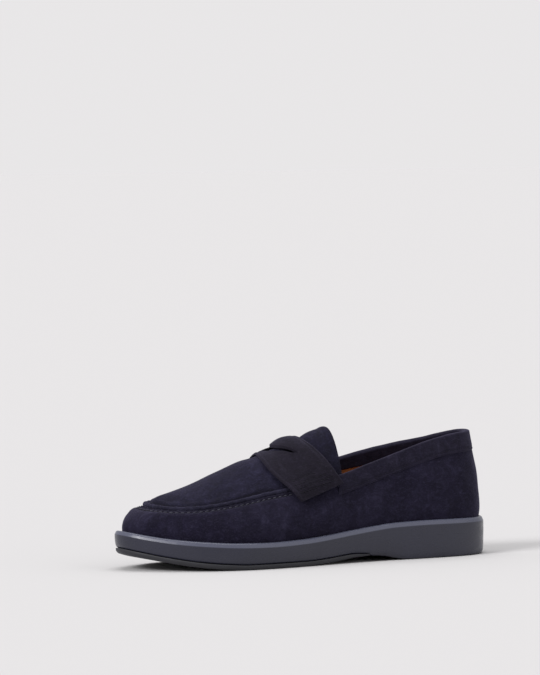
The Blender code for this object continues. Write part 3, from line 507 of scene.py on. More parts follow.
# ---------------------------------------------------------------- materials
class Nodes:
    """Small helper for a material's node tree; coordinates are in millimetres."""

    def __init__(self, name, rough, metal=0.0, spec=0.5, sheen=0.0, sheen_rough=0.4, sheen_tint=(1, 1, 1),
                 coat=0.0, coat_rough=0.2):
        self.mat = bpy.data.materials.new(name)
        self.mat.use_nodes = True
        self.tree = self.mat.node_tree
        self.bsdf = self.tree.nodes["Principled BSDF"]
        self.bsdf.inputs["Roughness"].default_value = rough
        self.bsdf.inputs["Metallic"].default_value = metal
        self.bsdf.inputs["Specular IOR Level"].default_value = spec
        self.bsdf.inputs["Sheen Weight"].default_value = sheen
        self.bsdf.inputs["Sheen Roughness"].default_value = sheen_rough
        self.bsdf.inputs["Sheen Tint"].default_value = (*sheen_tint, 1)
        self.bsdf.inputs["Coat Weight"].default_value = coat
        self.bsdf.inputs["Coat Roughness"].default_value = coat_rough
        tc = self.tree.nodes.new("ShaderNodeTexCoord")
        self.coord = self.tree.nodes.new("ShaderNodeVectorMath")
        self.coord.operation = 'SCALE'
        self.coord.inputs["Scale"].default_value = 1000.0
        self.tree.links.new(tc.outputs["Object"], self.coord.inputs[0])
        self.co = self.coord.outputs[0]
        self.height = None

    def link(self, a, b):
        self.tree.links.new(a, b)

    def put(self, sock, v):
        if isinstance(v, bpy.types.NodeSocket):
            self.link(v, sock)
        elif hasattr(v, "__len__") and len(v) == 3 and sock.type == 'RGBA':
            sock.default_value = (*v, 1)
        else:
            sock.default_value = v

    def stretch(self, sx, sy, sz, rot=(0, 0, 0)):
        n = self.tree.nodes.new("ShaderNodeMapping")
        n.inputs["Scale"].default_value = (sx, sy, sz)
        n.inputs["Rotation"].default_value = rot
        self.link(self.co, n.inputs["Vector"])
        return n.outputs[0]

    def noise(self, size, detail=3, rough=.55, distort=0.0, co=None, kind='FBM'):
        """Noise whose features are `size` mm across."""
        n = self.tree.nodes.new("ShaderNodeTexNoise")
        n.inputs["Scale"].default_value = 1.0 / size
        n.inputs["Detail"].default_value = detail
        n.inputs["Roughness"].default_value = rough
        n.inputs["Distortion"].default_value = distort
        self.link(co or self.co, n.inputs["Vector"])
        return n.outputs[0]

    def cells(self, size, feature='F1', random=1.0, co=None):
        n = self.tree.nodes.new("ShaderNodeTexVoronoi")
        n.feature = feature
        n.inputs["Scale"].default_value = 1.0 / size
        n.inputs["Randomness"].default_value = random
        self.link(co or self.co, n.inputs["Vector"])
        return n.outputs["Distance"]

    def wave(self, size, distort=0.0, co=None, direction='X'):
        n = self.tree.nodes.new("ShaderNodeTexWave")
        n.bands_direction = direction
        n.inputs["Scale"].default_value = 0.314 / size
        n.inputs["Distortion"].default_value = distort
        self.link(co or self.co, n.inputs["Vector"])
        return n.outputs["Fac"]

    def span(self, v, a, b, c=0.0, d=1.0):
        n = self.tree.nodes.new("ShaderNodeMapRange")
        n.interpolation_type = 'SMOOTHSTEP'
        self.link(v, n.inputs["Value"])
        for i, x in enumerate((a, b, c, d)):
            n.inputs[i + 1].default_value = x
        return n.outputs[0]

    def math(self, op, a, b=0.0, c=None):
        n = self.tree.nodes.new("ShaderNodeMath")
        n.operation = op
        self.put(n.inputs[0], a)
        self.put(n.inputs[1], b)
        if c is not None:
            self.put(n.inputs[2], c)
        return n.outputs[0]

    def mix(self, f, a, b, blend='MIX'):
        n = self.tree.nodes.new("ShaderNodeMix")
        n.data_type = 'RGBA'
        n.blend_type = blend
        self.put(n.inputs[0], f)
        self.put(n.inputs[6], a)
        self.put(n.inputs[7], b)
        return n.outputs[2]

    def zone(self, name="zone"):
        n = self.tree.nodes.new("ShaderNodeAttribute")
        n.attribute_name = name
        return n.outputs["Fac"]

    def worn(self, lo, hi):
        """1 on convex edges, 0 elsewhere."""
        g = self.tree.nodes.new("ShaderNodeNewGeometry")
        return self.span(g.outputs["Pointiness"], lo, hi)

    def color(self, v):
        self.put(self.bsdf.inputs["Base Color"], v)

    def rough(self, v):
        self.put(self.bsdf.inputs["Roughness"], v)

    def bump(self, v, mm, strength=1.0):
        n = self.tree.nodes.new("ShaderNodeBump")
        n.inputs["Strength"].default_value = strength
        n.inputs["Distance"].default_value = mm / 1000.0
        self.link(v, n.inputs["Height"])
        if self.height is not None:
            self.link(self.height, n.inputs["Normal"])
        self.height = n.outputs[0]
        self.link(self.height, self.bsdf.inputs["Normal"])


def suede(name, dark, mid, light, grain=1.0):
    """Brushed nap: cloudy patches where it lies the other way, short fibres, pores and lighter worn edges."""
    m = Nodes(name, 0.93, spec=0.16, sheen=SHEEN, sheen_rough=0.38, sheen_tint=(0.50, 0.46, 0.80))
    patch = m.noise(26, 5, .68, 1.2)
    patch2 = m.noise(8.5, 5, .7, 1.2, co=m.stretch(1, 1.2, .8))
    swipe = m.noise(3.0, 4, .62, 0.8, co=m.stretch(.55, 1, 1.3, (0, .8, .5)))
    fibre = m.noise(.85, 5, .72, 0.6, co=m.stretch(.6, 1, 1.3, (0, .7, .4)))
    pore = m.noise(.42, 3, .6)
    cloud = m.math('ADD', m.math('MULTIPLY', patch, .52), m.math('MULTIPLY', patch2, .48))
    c = m.mix(m.span(cloud, .42, .58), dark, mid)
    c = m.mix(m.math('MULTIPLY', m.span(cloud, .54, .68), .75), c, light)
    c = m.mix(m.math('MULTIPLY', m.span(swipe, .50, .74), .45), c, light)
    c = m.mix(m.math('MULTIPLY', m.span(fibre, .5, .72), .70), c, light)
    c = m.mix(m.math('MULTIPLY', m.span(fibre, .46, .30), .55), c, tuple(x * .5 for x in dark))
    c = m.mix(m.math('MULTIPLY', m.span(pore, .44, .30), .6), c, tuple(x * .35 for x in dark))
    c = m.mix(m.math('MULTIPLY', m.worn(.53, .60), .35), c, light)
    # Painted shade: the seam attribute darkens the nap in seam grooves, stitch dimples and under the ridge and the
    # strap.
    c = m.mix(m.math('MULTIPLY', m.zone("painted_shade"), .85), c, tuple(x * .28 for x in dark))
    m.color(c)
    m.rough(m.span(patch2, .3, .7, .86, .99))
    m.bump(swipe, .22, .6)
    m.bump(fibre, .22 * grain, .9)
    m.bump(pore, .14 * grain, .8)
    return m.mat


def leather(name, dark, mid, light, rough, cell=1.1):
    """Smooth lining leather: fine pebble, pores, pull lines and burnished patches."""
    m = Nodes(name, rough, spec=0.45, coat=0.06, coat_rough=0.35)
    patch = m.noise(34, 4, .6, .8)
    fleck = m.noise(2.6, 4, .65, .4)
    pebble = m.cells(cell, 'SMOOTH_F1')
    crack = m.cells(cell * 1.7, 'DISTANCE_TO_EDGE')
    pore = m.noise(.28, 2, .5)
    c = m.mix(m.span(patch, .34, .68), dark, mid)
    c = m.mix(m.math('MULTIPLY', m.span(fleck, .45, .75), .5), c, light)
    c = m.mix(m.math('MULTIPLY', m.span(crack, .09, .0), .38), c, tuple(x * .55 for x in dark))
    m.color(c)
    m.rough(m.span(fleck, .3, .75, rough - .08, rough + .14))
    m.bump(pebble, .10, .55)
    m.bump(crack, .10, .4)
    m.bump(pore, .03, .5)
    return m.mat


def rubber(name, dark, mid, rim, rough, tread=False):
    """Moulded rubber: even satin skin with fine texture, light dust specks and rubbed edges."""
    m = Nodes(name, rough, spec=0.5, sheen=0.05, sheen_rough=.5, sheen_tint=(.7, .75, .9))
    patch = m.noise(45, 3, .55, .6)
    speck = m.noise(1.3, 4, .6)
    skin = m.noise(.42, 3, .6)
    rub = m.noise(7, 5, .62, .7, co=m.stretch(.5, 1, 1.8))
    c = m.mix(m.span(patch, .3, .7), dark, mid)
    c = m.mix(m.math('MULTIPLY', m.span(speck, .5, .8), .10), c, rim)
    # Painted highlight: the rim attribute gives the upward bevelled rim band the light rim colour, for the top light it
    # catches.
    if not tread:
        c = m.mix(m.zone("rim"), c, rim)
    c = m.mix(m.math('MULTIPLY', m.worn(.52, .60), .4), c, tuple(min(1, x * 1.5) for x in rim))
    m.color(c)
    base = m.span(rub, .3, .75, rough - .05, rough + .10)
    if tread:
        m.rough(base)
    else:
        m.rough(m.math('SUBTRACT', base, m.math('MULTIPLY', m.zone("rim"), .05)))
    m.bump(rub, .05, .3)
    m.bump(speck, .02, .35)
    m.bump(skin, .016 if not tread else .04, .6)
    return m.mat


def yarn(name, dark, light, sheen=.10):
    """Bonded thread: a tight twist with lighter high strands."""
    m = Nodes(name, .70, spec=.22, sheen=sheen, sheen_rough=.4, sheen_tint=(.6, .62, .85))
    twist = m.wave(.34, .6, co=m.stretch(1, 1.4, 1.2, (.5, .6, .7)), direction='DIAGONAL')
    fuzz = m.noise(.2, 3, .6)
    patch = m.noise(6, 3, .6)
    c = m.mix(twist, dark, light)
    c = m.mix(m.math('MULTIPLY', m.span(patch, .35, .7), .35), c, dark)
    m.color(c)
    m.rough(m.span(fuzz, .3, .7, .5, .8))
    m.bump(twist, .10, .8)
    m.bump(fuzz, .04, .6)
    return m.mat


def plain_stuff(name, dark, light, rough, size, kind, metal=0.0, depth=.2):
    """Board, felt, foam and metal of the hidden pieces."""
    m = Nodes(name, rough, metal=metal)
    if kind == 'cell':
        a = m.cells(size, 'F1')
        b = m.cells(size * .45, 'SMOOTH_F1')
    elif kind == 'brushed':
        a = m.noise(size, 3, .6, 0, co=m.stretch(.06, 1.6, 1))
        b = m.noise(size * 5, 3, .5)
    elif kind == 'weave':
        a = m.math('MULTIPLY', m.wave(size, .2, direction='X'), m.wave(size, .2, direction='Z'))
        b = m.noise(size * 3, 3, .6)
    else:
        a = m.noise(size, 5, .7, 1.2, co=m.stretch(.5, 1, 1, (0, 0, .6)))
        b = m.noise(size * 9, 4, .6, .6)
    c = m.mix(m.span(a, .2, .75), dark, light)
    c = m.mix(m.math('MULTIPLY', m.span(b, .35, .7), .4), c, tuple(x * .8 for x in dark))
    m.color(c)
    m.rough(m.span(b, .2, .8, max(.12, rough - .1), min(1, rough + .08)))
    m.bump(a, depth, .6)
    return m.mat


SHEEN = 0.16
SUEDE = suede("suede_navy", (0.0052, 0.0038, 0.0125), (0.0108, 0.0088, 0.0225), (0.028, 0.025, 0.050))
SUEDE_TOP = suede("suede_navy_top", (0.0040, 0.0032, 0.0106), (0.0084, 0.0072, 0.0196), (0.0265, 0.0245, 0.0520))
# The ridge suede is a lighter copy of the navy suede: a painted highlight for the top-left light on the rolled ridge.
SUEDE_RIDGE_LIT = suede("suede_navy_ridge_lit", (0.0080, 0.0072, 0.0170), (0.0150, 0.0138, 0.0290), (0.034, 0.032, 0.058))
SUEDE_BAND = suede("suede_navy_band", (0.0064, 0.0050, 0.0130), (0.0122, 0.0100, 0.0222), (0.030, 0.0265, 0.049))
SUEDE_STRAP = suede("suede_navy_strap", (0.0054, 0.0040, 0.0086), (0.0098, 0.0078, 0.0145), (0.0225, 0.0190, 0.0320))
YARN = yarn("thread_navy", (0.024, 0.023, 0.036), (0.080, 0.079, 0.106))
YARN_DARK = yarn("thread_dark", (0.0030, 0.0026, 0.0055), (0.0120, 0.0108, 0.0185), .02)
# The third colour of the sole rubber is a painted highlight on the bevelled rim; it also tints the specks and rubbed
# edges.
RUBBER = rubber("sole_rubber", (0.0125, 0.0130, 0.0265), (0.0155, 0.0160, 0.0320), (0.076, 0.080, 0.118), .30)
TREAD = rubber("tread_rubber", (0.012, 0.012, 0.016), (0.018, 0.018, 0.024), (0.035, 0.035, 0.043), .62, tread=True)
TAN = leather("lining_leather", (0.30, 0.105, 0.030), (0.42, 0.155, 0.046), (0.56, 0.24, 0.085), .46)
SOCK = leather("sock_leather", (0.27, 0.095, 0.028), (0.38, 0.140, 0.042), (0.50, 0.21, 0.075), .50, 1.3)
FOAM = plain_stuff("foam", (0.50, 0.47, 0.38), (0.72, 0.69, 0.58), .9, .8, 'cell')
BOARD = plain_stuff("insole_board_fibre", (0.26, 0.18, 0.11), (0.44, 0.33, 0.22), .85, .5, 'fibre', depth=.1)
FELT = plain_stuff("filler_felt", (0.17, 0.155, 0.135), (0.36, 0.33, 0.29), .95, .45, 'fibre', depth=.25)
STEEL = plain_stuff("shank_steel", (0.38, 0.38, 0.39), (0.62, 0.62, 0.63), .34, .35, 'brushed', metal=1.0, depth=.02)
STIFF = plain_stuff("stiffener_fibre", (0.46, 0.39, 0.29), (0.66, 0.59, 0.47), .8, .6, 'weave', depth=.12)

# ---------------------------------------------------------------- studio levels
WORLD = 0.54
PAPER_SEEN = (0.810, 0.796, 0.803)
PAPER = (0.63, 0.62, 0.623)
LIGHTS = [
    ("key", (-1.0, -.32, .70), 2.0, 24),
    ("top", (0.05, 0.15, 1.0), 1.15, 45),
    ("fill", (.9, -1.0, .5), .30, 60),
]

# ---------------------------------------------------------------- stations round the shoe
KEY_K = np.arange(0, N_COL + 1, 2).astype(float)


def k_of_t(t):
    return np.interp(np.asarray(t) % PERIMETER, KEYS[:, 0], KEY_K)


def t_run(t0, t1, step):
    return np.linspace(t0, t1, max(2, int(round(abs(t1 - t0) / step)) + 1))


T_SEAM0, T_SEAM1 = float(column_t(20)), float(column_t(52))
T16, T56 = float(column_t(16)), float(column_t(56))


def level(dz):
    return lambda s: z_floor(s) + dz


def ring_t(extra, height, t, plain=False):
    return inset_ring(extra, height, k_of_t(t), plain)


def wall_frames(t, h):
    """Points of the wall with unit normals out of it and unit directions up it."""
    q = wall_point(t, h)
    along = wall_point(t + .5, h) - wall_point(t - .5, h)
    rise = wall_point(t, np.minimum(h + .02, 1)) - wall_point(t, h - .02)
    out = unit(np.cross(along, rise))
    mid = np.column_stack([np.clip(q[:, 0], 40, 215), np.full(len(q), 3.0), q[:, 2] - 6])
    out = np.where(((q - mid) * out).sum(1)[:, None] < 0, -out, out)
    return q, out, unit(rise)


def wall_rise(t):
    return wall_point(t, 1.0)[:, 2] - feather(t)[0][:, 2]


# ---------------------------------------------------------------- upper wall
STITCH_PITCH, STITCH_LEN, STITCH_X = 4.5, 2.3, 2.5
tw = np.concatenate([[0, .15, .35, .6, .9, 1.3, 1.8], t_run(2.5, T_SEAM0, 1.15), t_run(T_SEAM0, T_SEAM1, .55)[1:],
                     t_run(T_SEAM1, PERIMETER - 2.5, 1.15)[1:], PERIMETER - np.array([1.8, 1.3, .9, .6, .35, .15])])
hs = np.concatenate([np.linspace(.03, .84, 27), np.linspace(.855, 1.0, 20)])
rise_w = wall_rise(tw)
seam_t = t_run(T_SEAM0, T_SEAM1, .4)
seam_h = 1 - STITCH_X / wall_rise(seam_t)
seam_path = wall_point(seam_t, seam_h)
_, seam_u, seam_d = arc_at(seam_path, STITCH_PITCH, start=STITCH_PITCH * .6)
stitch_t = np.interp(seam_u, seam_d, seam_t)


def seam_arc(t):
    return np.interp(t, seam_t, seam_d, left=-99, right=1e4)


wall = [ring_t(margin(k_of_t(tw)), level(.3), tw), ring_t(2.0, level(.3), tw), ring_t(.5, level(.9), tw),
        ring_t(0.0, level(2.6), tw), ring_t(0.0, level(4.3), tw), feather(tw)[0]]
low_rows = len(wall)
wall += [wall_point(tw, h) for h in hs]
wall = np.stack(wall, 1)
quads = grid_quads(len(tw), wall.shape[1], closed=True)
x_top = np.full((len(tw), wall.shape[1]), 99.0)
x_top[:, low_rows:] = (1 - hs)[None, :] * rise_w[:, None]
flat = wall.reshape(-1, 3)
move = .20 * soft_noise(flat, 40, 0) + .10 * soft_noise(flat, 16, 1)
move = move.reshape(x_top.shape)
on_seam = np.clip(np.minimum(tw - T_SEAM0, T_SEAM1 - tw) / 6, 0, 1)[:, None]
u = seam_arc(tw)[:, None]
phase = (u - seam_u[0]) / STITCH_PITCH
ends = np.abs(np.abs(phase - np.round(phase)) * STITCH_PITCH - STITCH_LEN / 2)
move += on_seam * (-.55 * np.exp(-((x_top - STITCH_X + .3) / .9)**2) + .55 * np.exp(-((x_top - 5.6) / 2.3)**2)
                   - .85 * np.exp(-(ends / .5)**2 - ((x_top - STITCH_X) / .6)**2)
                   + .13 * np.cos(2 * math.pi * phase) * np.exp(-(x_top / 4.5)**2))
back = np.minimum(tw, PERIMETER - tw)[:, None]
move += -.42 * np.exp(-(back / .38)**2) + .16 * np.exp(-((back - 1.7) / .9)**2)
move[:, :low_rows] = 0
ease = np.clip(((wall[:, :, 2] - feather(tw)[0][:, 2][:, None]) - .3) / 3, 0, 1)
move *= ease
edge_loss = round_edge(x_top, .62) * (1 - np.clip((np.minimum(tw - T_SEAM0, T_SEAM1 - tw) + 7) / 3, 0, 1))[:, None]
p, q = thick(flat, quads, (move - edge_loss).reshape(-1), (WALL_T - np.minimum(edge_loss, .5)).reshape(-1),
             toward=(150, 3, 30))
wall_obj = make("upper_wall_suede", p, q, SUEDE, replaces=["upper_wall"], angle=0)
# Painted shade on the wall: darker at the top edge under the apron ridge, along the stitch groove and in each stitch
# dimple.
painted_shade = on_seam * (.55 * np.exp(-((x_top - .6) / .7)**2) + .55 * np.exp(-((x_top - STITCH_X - .9) / .6)**2)
                   + 1.0 * np.exp(-((x_top - STITCH_X) / .75)**2) * np.exp(-(ends / .75)**2)
                   + .6 * np.exp(-((x_top - STITCH_X) / .8)**2))
paint_shade(wall_obj, painted_shade.reshape(-1), len(flat))

# ---------------------------------------------------------------- seam stitches and ridge


def stitch(path, radius, sides=10, squash=.8):
    return tube(path, radius, sides, squash)


items = []
for t0 in stitch_t:
    c = float(np.interp(t0, seam_t, seam_d))
    us = c + STITCH_LEN * np.linspace(-.56, .56, 9)
    tt = np.interp(us, seam_d, seam_t)
    h = 1 - (STITCH_X + .22 * np.linspace(-1, 1, 9)) / wall_rise(tt)
    q, n, _ = wall_frames(tt, h)
    lift = .34 * (1 - np.abs(np.linspace(-1.05, 1.05, 9))**3.2) - .30
    lift = np.where(np.abs(np.linspace(-1, 1, 9)) > .9, -.75, lift)
    items.append(stitch(q + n * (lift + .02)[:, None], .44))
p, q = gather(items)
make("apron_seam_stitches", p, q, YARN, replaces=["apron_thread"], angle=0)

ridge_t = t_run(float(column_t(18.9)), float(column_t(53.1)), .5)
te, ae = top_edge(ridge_t), apron_edge(ridge_t)
dd = unit(ae[:, :2] - te[:, :2])
ridge = np.column_stack([te[:, :2] + dd * 1.75, te[:, 2] + 1.20])
ru = seam_arc(ridge_t)
ph = 2 * math.pi * (ru - seam_u[0]) / STITCH_PITCH
swell = 1 + .035 * soft_noise(ridge, 12, 2) - .075 * (.5 + .5 * np.cos(ph))
fade = np.clip(np.minimum(np.arange(len(ridge)), np.arange(len(ridge))[::-1]) / 6, 0, 1)
ridge[:, 2] += .10 * np.sin(ph * .5) * fade
p, q = tube(ridge, 1.82, 22, 1.0, swell=swell)
# The ridge wears the lighter suede of painted highlight.
make("apron_ridge", p, q, SUEDE_RIDGE_LIT, replaces=["apron_piping"], angle=0)

# ---------------------------------------------------------------- apron with tongue


def ribs(ks, ratios):
    """Apron ribs for many columns at once."""
    edge = apron_edge(column_t(ks))
    ss = pchip(SPINE_S, np.minimum(ks, N_COL - ks))
    ys = pchip(SPINE_Y, ss)
    r = np.asarray(ratios)[None, :]
    s = ss[:, None] + (edge[:, 0] - ss)[:, None] * r
    y = ys[:, None] + (edge[:, 1] - ys)[:, None] * r
    e = pchip([(120, 2.3), (160, 2.3), (200, 2.2), (240, 2.1), (300, 2.0)], edge[:, 0])[:, None]
    z = z_crest(s) - (z_crest(edge[:, 0]) - edge[:, 2])[:, None] * r**e
    return np.stack([s, y, z], 2)


def apron_surface(step, ratios, last=1.0):
    r = np.asarray(ratios) * last
    cols = np.concatenate([[15, 15.012, 15.03, 15.06], np.linspace(15.1, 36, int(20.9 / step))])
    grids = [ribs(cols, r), ribs(N_COL - cols, r)]
    pts, quads, info = [], [], []
    for g in grids:
        k = sum(len(a) for a in pts)
        pts.append(g.reshape(-1, 3))
        quads.append(grid_quads(len(cols), len(r)) + k)
        tail = np.linalg.norm(g - g[:1], axis=2)
        rim = np.linalg.norm(g - g[:, -1:], axis=2)
        info.append(np.stack([tail.reshape(-1), rim.reshape(-1), np.repeat(cols, len(r))], 1))
    quads[1] = quads[1][:, ::-1]
    pts, quads, info = np.vstack(pts), np.vstack(quads), np.vstack(info)
    pts, quads, first, _ = weld(pts, quads)
    return pts, quads, info[first]


rr = np.concatenate([np.linspace(0, .95, 40), [.962, .972, .98, .987, .993, .9975, 1.0]])
pts, quads, info = apron_surface(.095, rr)
tail, rim, cols = info.T
free = np.clip((19.5 - cols) / 1.5, 0, 1)
loss = round_edge(tail, .68) + free * round_edge(rim, .68)
loss = np.minimum(loss, .68)
move = .22 * soft_noise(pts, 44, 3) + .10 * soft_noise(pts, 15, 4)
move += .45 * np.exp(-((tail - 2.6) / 2.0)**2) - .12 * np.exp(-((tail - 6.2) / .8)**2)
move += free * (.35 * np.exp(-((rim - 2.2) / 1.6)**2))
seam_part = np.clip((cols - 20) / 1.5, 0, 1)
move += seam_part * (-.38 * np.exp(-((rim - .3) / 1.1)**2) - .10 * np.exp(-((rim - 2.9) / .75)**2)
                     + .42 * np.exp(-((rim - 5.2) / 1.9)**2))
p, q = thick(pts, quads, move * np.clip(tail / 1.0, 0, 1) - loss, APRON_T - loss + 0 * tail, toward=(190, 3, 10))
apron_obj = make("apron_suede", p, q, SUEDE_TOP, replaces=["apron"], angle=0)
# Painted shade on the apron: darker in the groove 2.7 mm from the seam and on the tongue from under the strap back (s
# below 158).
painted_shade = .85 * seam_part * np.exp(-((rim - 2.7) / .65)**2) + .24 * smooth01((158 - pts[:, 0]) / 6)
paint_shade(apron_obj, painted_shade, len(pts))

pts, quads, info = apron_surface(.25, np.linspace(0, 1, 22), last=.84)
p, q = thick(pts, quads, -(APRON_T + .35), APRON_T + .35 + LINING_T, toward=(190, 3, 10))
make("tongue_lining_leather", p, q, TAN, replaces=["tongue_lining"], angle=0)

# ---------------------------------------------------------------- saddle strap
FRONT = np.array([a for a, b in STRAP])
REAR = np.array([b for a, b in STRAP])
# the fine strap hugs the apron at its front edge and is drawn in a little at its rear corners
for i, (s_old, s_new) in enumerate(((190.6, 189.2), (190.3, 186.2), (190.4, 183.6), (188.4, 184.6))):
    FRONT[5 + i, 0] = s_new
    FRONT[5 + i, 2] += float(pchip(CREST, s_new) - pchip(CREST, s_old)) - .5
REAR[1:4, 0] += (1.3, 2.0, 1.9)
REAR[9:12, 0] += (1.6, 1.6, 1.2)
V = np.arange(len(STRAP), dtype=float)


PUFF = [(0, 0), (.2, .01), (.28, .03), (.38, .25), (.485, .60), (.6, .93), (.68, 1), (.86, .72), (1, 0)]


def strap_base(v, w):
    """Middle surface and normal of the strap for paired v and w."""
    e = .05
    w = w[:, None]
    a, b = spline(V, FRONT, v), spline(V, REAR, v)
    ap, bp = spline(V, FRONT, v + e), spline(V, REAR, v + e)
    am, bm = spline(V, FRONT, v - e), spline(V, REAR, v - e)
    p = a * (1 - w) + b * w
    n = unit(np.cross(ap * (1 - w) + bp * w - am * (1 - w) - bm * w, b - a))
    n = np.where(((p - np.array([165, 3, 30.0])) * n).sum(1)[:, None] < 0, -n, n)
    fade = np.cos(np.pi / 2 * np.clip(np.abs(v - 6) / 4.2, 0, 1))**2
    return p + n * (CROWN_H * pchip(PUFF, w[:, 0]) * fade)[:, None], n, np.linalg.norm(b - a, axis=1)


vd = np.linspace(0, 12, 1201)
mid_len = np.concatenate([[0], np.cumsum(np.linalg.norm(np.diff(strap_base(vd, np.full(1201, .5))[0], axis=0), axis=1))])
total = mid_len[-1]
vs = np.interp(fine(2.2, total - 2.2, [0, .15, .4, .8], .8), mid_len, vd)
ws = fine(0, 1, [0, .003, .008, .016, .03, .045, .06, .075], .021)
vv, ww = np.meshgrid(vs, ws, indexing='ij')
p0, n0, width = strap_base(vv.reshape(-1), ww.reshape(-1))
wf = ww.reshape(-1)
vf = vv.reshape(-1)
x_front, x_rear = wf * width, (1 - wf) * width
x_side = np.minimum(x_front, x_rear)
arc = np.interp(vf, vd, mid_len)
x_end = np.minimum(arc, total - arc) - 2.2
move = .16 * soft_noise(p0, 26, 5) + .07 * soft_noise(p0, 9, 0)
move += .30 * np.exp(-((x_side - 1.5) / 1.0)**2) - .24 * np.exp(-((x_side - 3.4) / .8)**2)
# sewn rows near both ends
sew = []
for v0, wa, wb in ((1.20, .12, .86), (1.72, .12, .88), (2.22, .14, .80), (2.66, .18, .66)):
    for side in (0, 1):
        v1 = v0 if side == 0 else 12 - v0
        wd = float(strap_base(np.array([v1]), np.array([.5]))[2][0])
        for w in np.arange(wa, wb, 2.6 / wd):
            sew.append((v1, w, 1 if side == 0 else -1, wd))
centres = strap_base(np.array([a[0] for a in sew]), np.array([a[1] for a in sew]))[0]
near = np.full(len(p0), 9.0)
for c in centres:
    near = np.minimum(near, ((p0 - c)**2).sum(1))
move -= .50 * np.exp(-near / .9)
loss = round_edge(x_side, .8) + round_edge(x_end, .28)
loss = np.minimum(loss, .8)
half_t = STRAP_T / 2 - .25 * np.exp(-x_end / 4) - .15 * np.exp(-x_front / 3)
p, q = thick(p0, grid_quads(len(vs), len(ws)), half_t + move * np.clip(x_end / 1, 0, 1) - np.minimum(loss, half_t),
             half_t - .7 * np.minimum(loss, half_t), toward=(165, 3, 30))
strap = make("strap_raw", p, q, None, angle=0)


def branch(points, n):
    a = np.array(points, float)
    d = np.concatenate([[0], np.cumsum(np.hypot(*np.diff(a, axis=0).T))])
    return spline(d, a, np.linspace(0, d[-1], n))


def prism(name, outline_pts, z0, z1):
    """Closed upright prism on a plan outline, as a cutter."""
    m = len(outline_pts)
    lo = np.column_stack([outline_pts, np.full(m, z0)])
    hi = np.column_stack([outline_pts, np.full(m, z1)])
    mesh = bpy.data.meshes.new(name)
    faces = [[i, (i + 1) % m, (i + 1) % m + m, i + m] for i in range(m)]
    mesh.from_pydata(world(np.vstack([lo, hi])).tolist(), [], faces + [list(range(m))[::-1], list(range(m, 2 * m))])
    bm = bmesh.new()
    bm.from_mesh(mesh)
    bmesh.ops.recalc_face_normals(bm, faces=bm.faces[:])
    if bm.calc_volume(signed=True) < 0:
        bmesh.ops.reverse_faces(bm, faces=bm.faces[:])
    bm.to_mesh(mesh)
    bm.free()
    obj = bpy.data.objects.new(name, mesh)
    bpy.context.scene.collection.objects.link(obj)
    return obj


def bake(obj, cutters, name, mat, replaces, angle=45):
    """Cut the object, keep the result as a plain mesh and drop the cutters."""
    for c in cutters:
        mod = obj.modifiers.new("cut", 'BOOLEAN')
        mod.operation, mod.solver, mod.object = 'DIFFERENCE', 'EXACT', c
    bpy.context.view_layer.update()
    mesh = bpy.data.meshes.new_from_object(obj.evaluated_get(bpy.context.evaluated_depsgraph_get()))
    mesh.name = name
    for o in [obj] + list(cutters):
        bpy.data.objects.remove(o, do_unlink=True)
    out = bpy.data.objects.new(name, mesh)
    bpy.context.scene.collection.objects.link(out)
    mesh.materials.clear()
    mesh.materials.append(mat)
    mesh.shade_smooth()
    mesh.set_sharp_from_angle(angle=math.radians(angle))
    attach(out, "root")
    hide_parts(*replaces)
    return out


SLOT_FRONT = [(179.8, 3), (178.6, -4), (175.8, -10.5), (171.6, -16.8), (167.4, -21.6)]
SLOT_REAR = [(163.6, -23.8), (165.0, -20.6), (169.4, -13), (172.0, -5), (172.6, 3)]
tip_l, tip_m = (163.0, -24.0), (163.0, 20.8)
mir = lambda pts: [(s, 3 + .66 * (3 - y)) for s, y in pts][::-1]
front_pts = [tip_l] + SLOT_FRONT[::-1][:-1] + [SLOT_FRONT[0]] + mir(SLOT_FRONT[::-1][:-1]) + [tip_m]
rear_pts = [tip_m] + [(s, 3 + .66 * (3 - y)) for s, y in SLOT_REAR[1:-1]] + [SLOT_REAR[-1]] + SLOT_REAR[1:-1][::-1] + [tip_l]
slot_line = np.vstack([branch(front_pts, 70)[:-1], branch(rear_pts, 70)[:-1]])
strap = bake(strap, [prism("slot_cutter", slot_line, 60, 125)], "saddle_strap_suede", SUEDE_STRAP,
             ["saddle_strap"], angle=55)

for label, side in (("lateral", 1), ("medial", -1)):
    items = []
    for v1, w, sgn, wd in sew:
        if sgn != side:
            continue
        a = np.linspace(-1, 1, 7)
        vq = v1 + .150 * a * sgn
        wq = w - .017 * a
        b, n, _ = strap_base(vq, wq)
        lift = STRAP_T / 2 - .42 + .30 * (1 - np.abs(a)**3)
        lift[[0, -1]] -= .5
        items.append(stitch(b + n * lift[:, None], .27, 8))
    p, q = gather(items)
    make("strap_stitches_" + label, p, q, YARN_DARK, replaces=["strap_thread_" + label], angle=0)

# ---------------------------------------------------------------- collar band folded over the topline
BAND_DROP = 14.0
t_band = t_run(T56 - PERIMETER, T16, .9)
tb = t_band % PERIMETER
rise_b = wall_rise(tb)
h0 = 1 - BAND_DROP / rise_b
sec, xs = [], []
legs = fine(0, 1, [0, .015, .035, .06, .09, .13, .17], .055)
for a in legs:
    q, n, up = wall_frames(tb, h0 + (1 - h0) * a)
    sec.append(q + n * (.20 + .45 * smooth01(a * 3)))
    xs.append(np.full(len(tb), a * BAND_DROP))
q, n, up = wall_frames(tb, np.full(len(tb), 1.0))
for ang in np.linspace(0, math.pi, 15)[1:-1]:
    sec.append(q + n * (-1.85 + 2.5 * math.cos(ang)) + up * (1.12 * math.sin(ang)))
    xs.append(np.full(len(tb), BAND_DROP + 2))
depth_in = pchip([(0, .93), (60, .86), (100, .70), (130, .60), (300, .6)], wall_point(tb, 1.0)[:, 0])
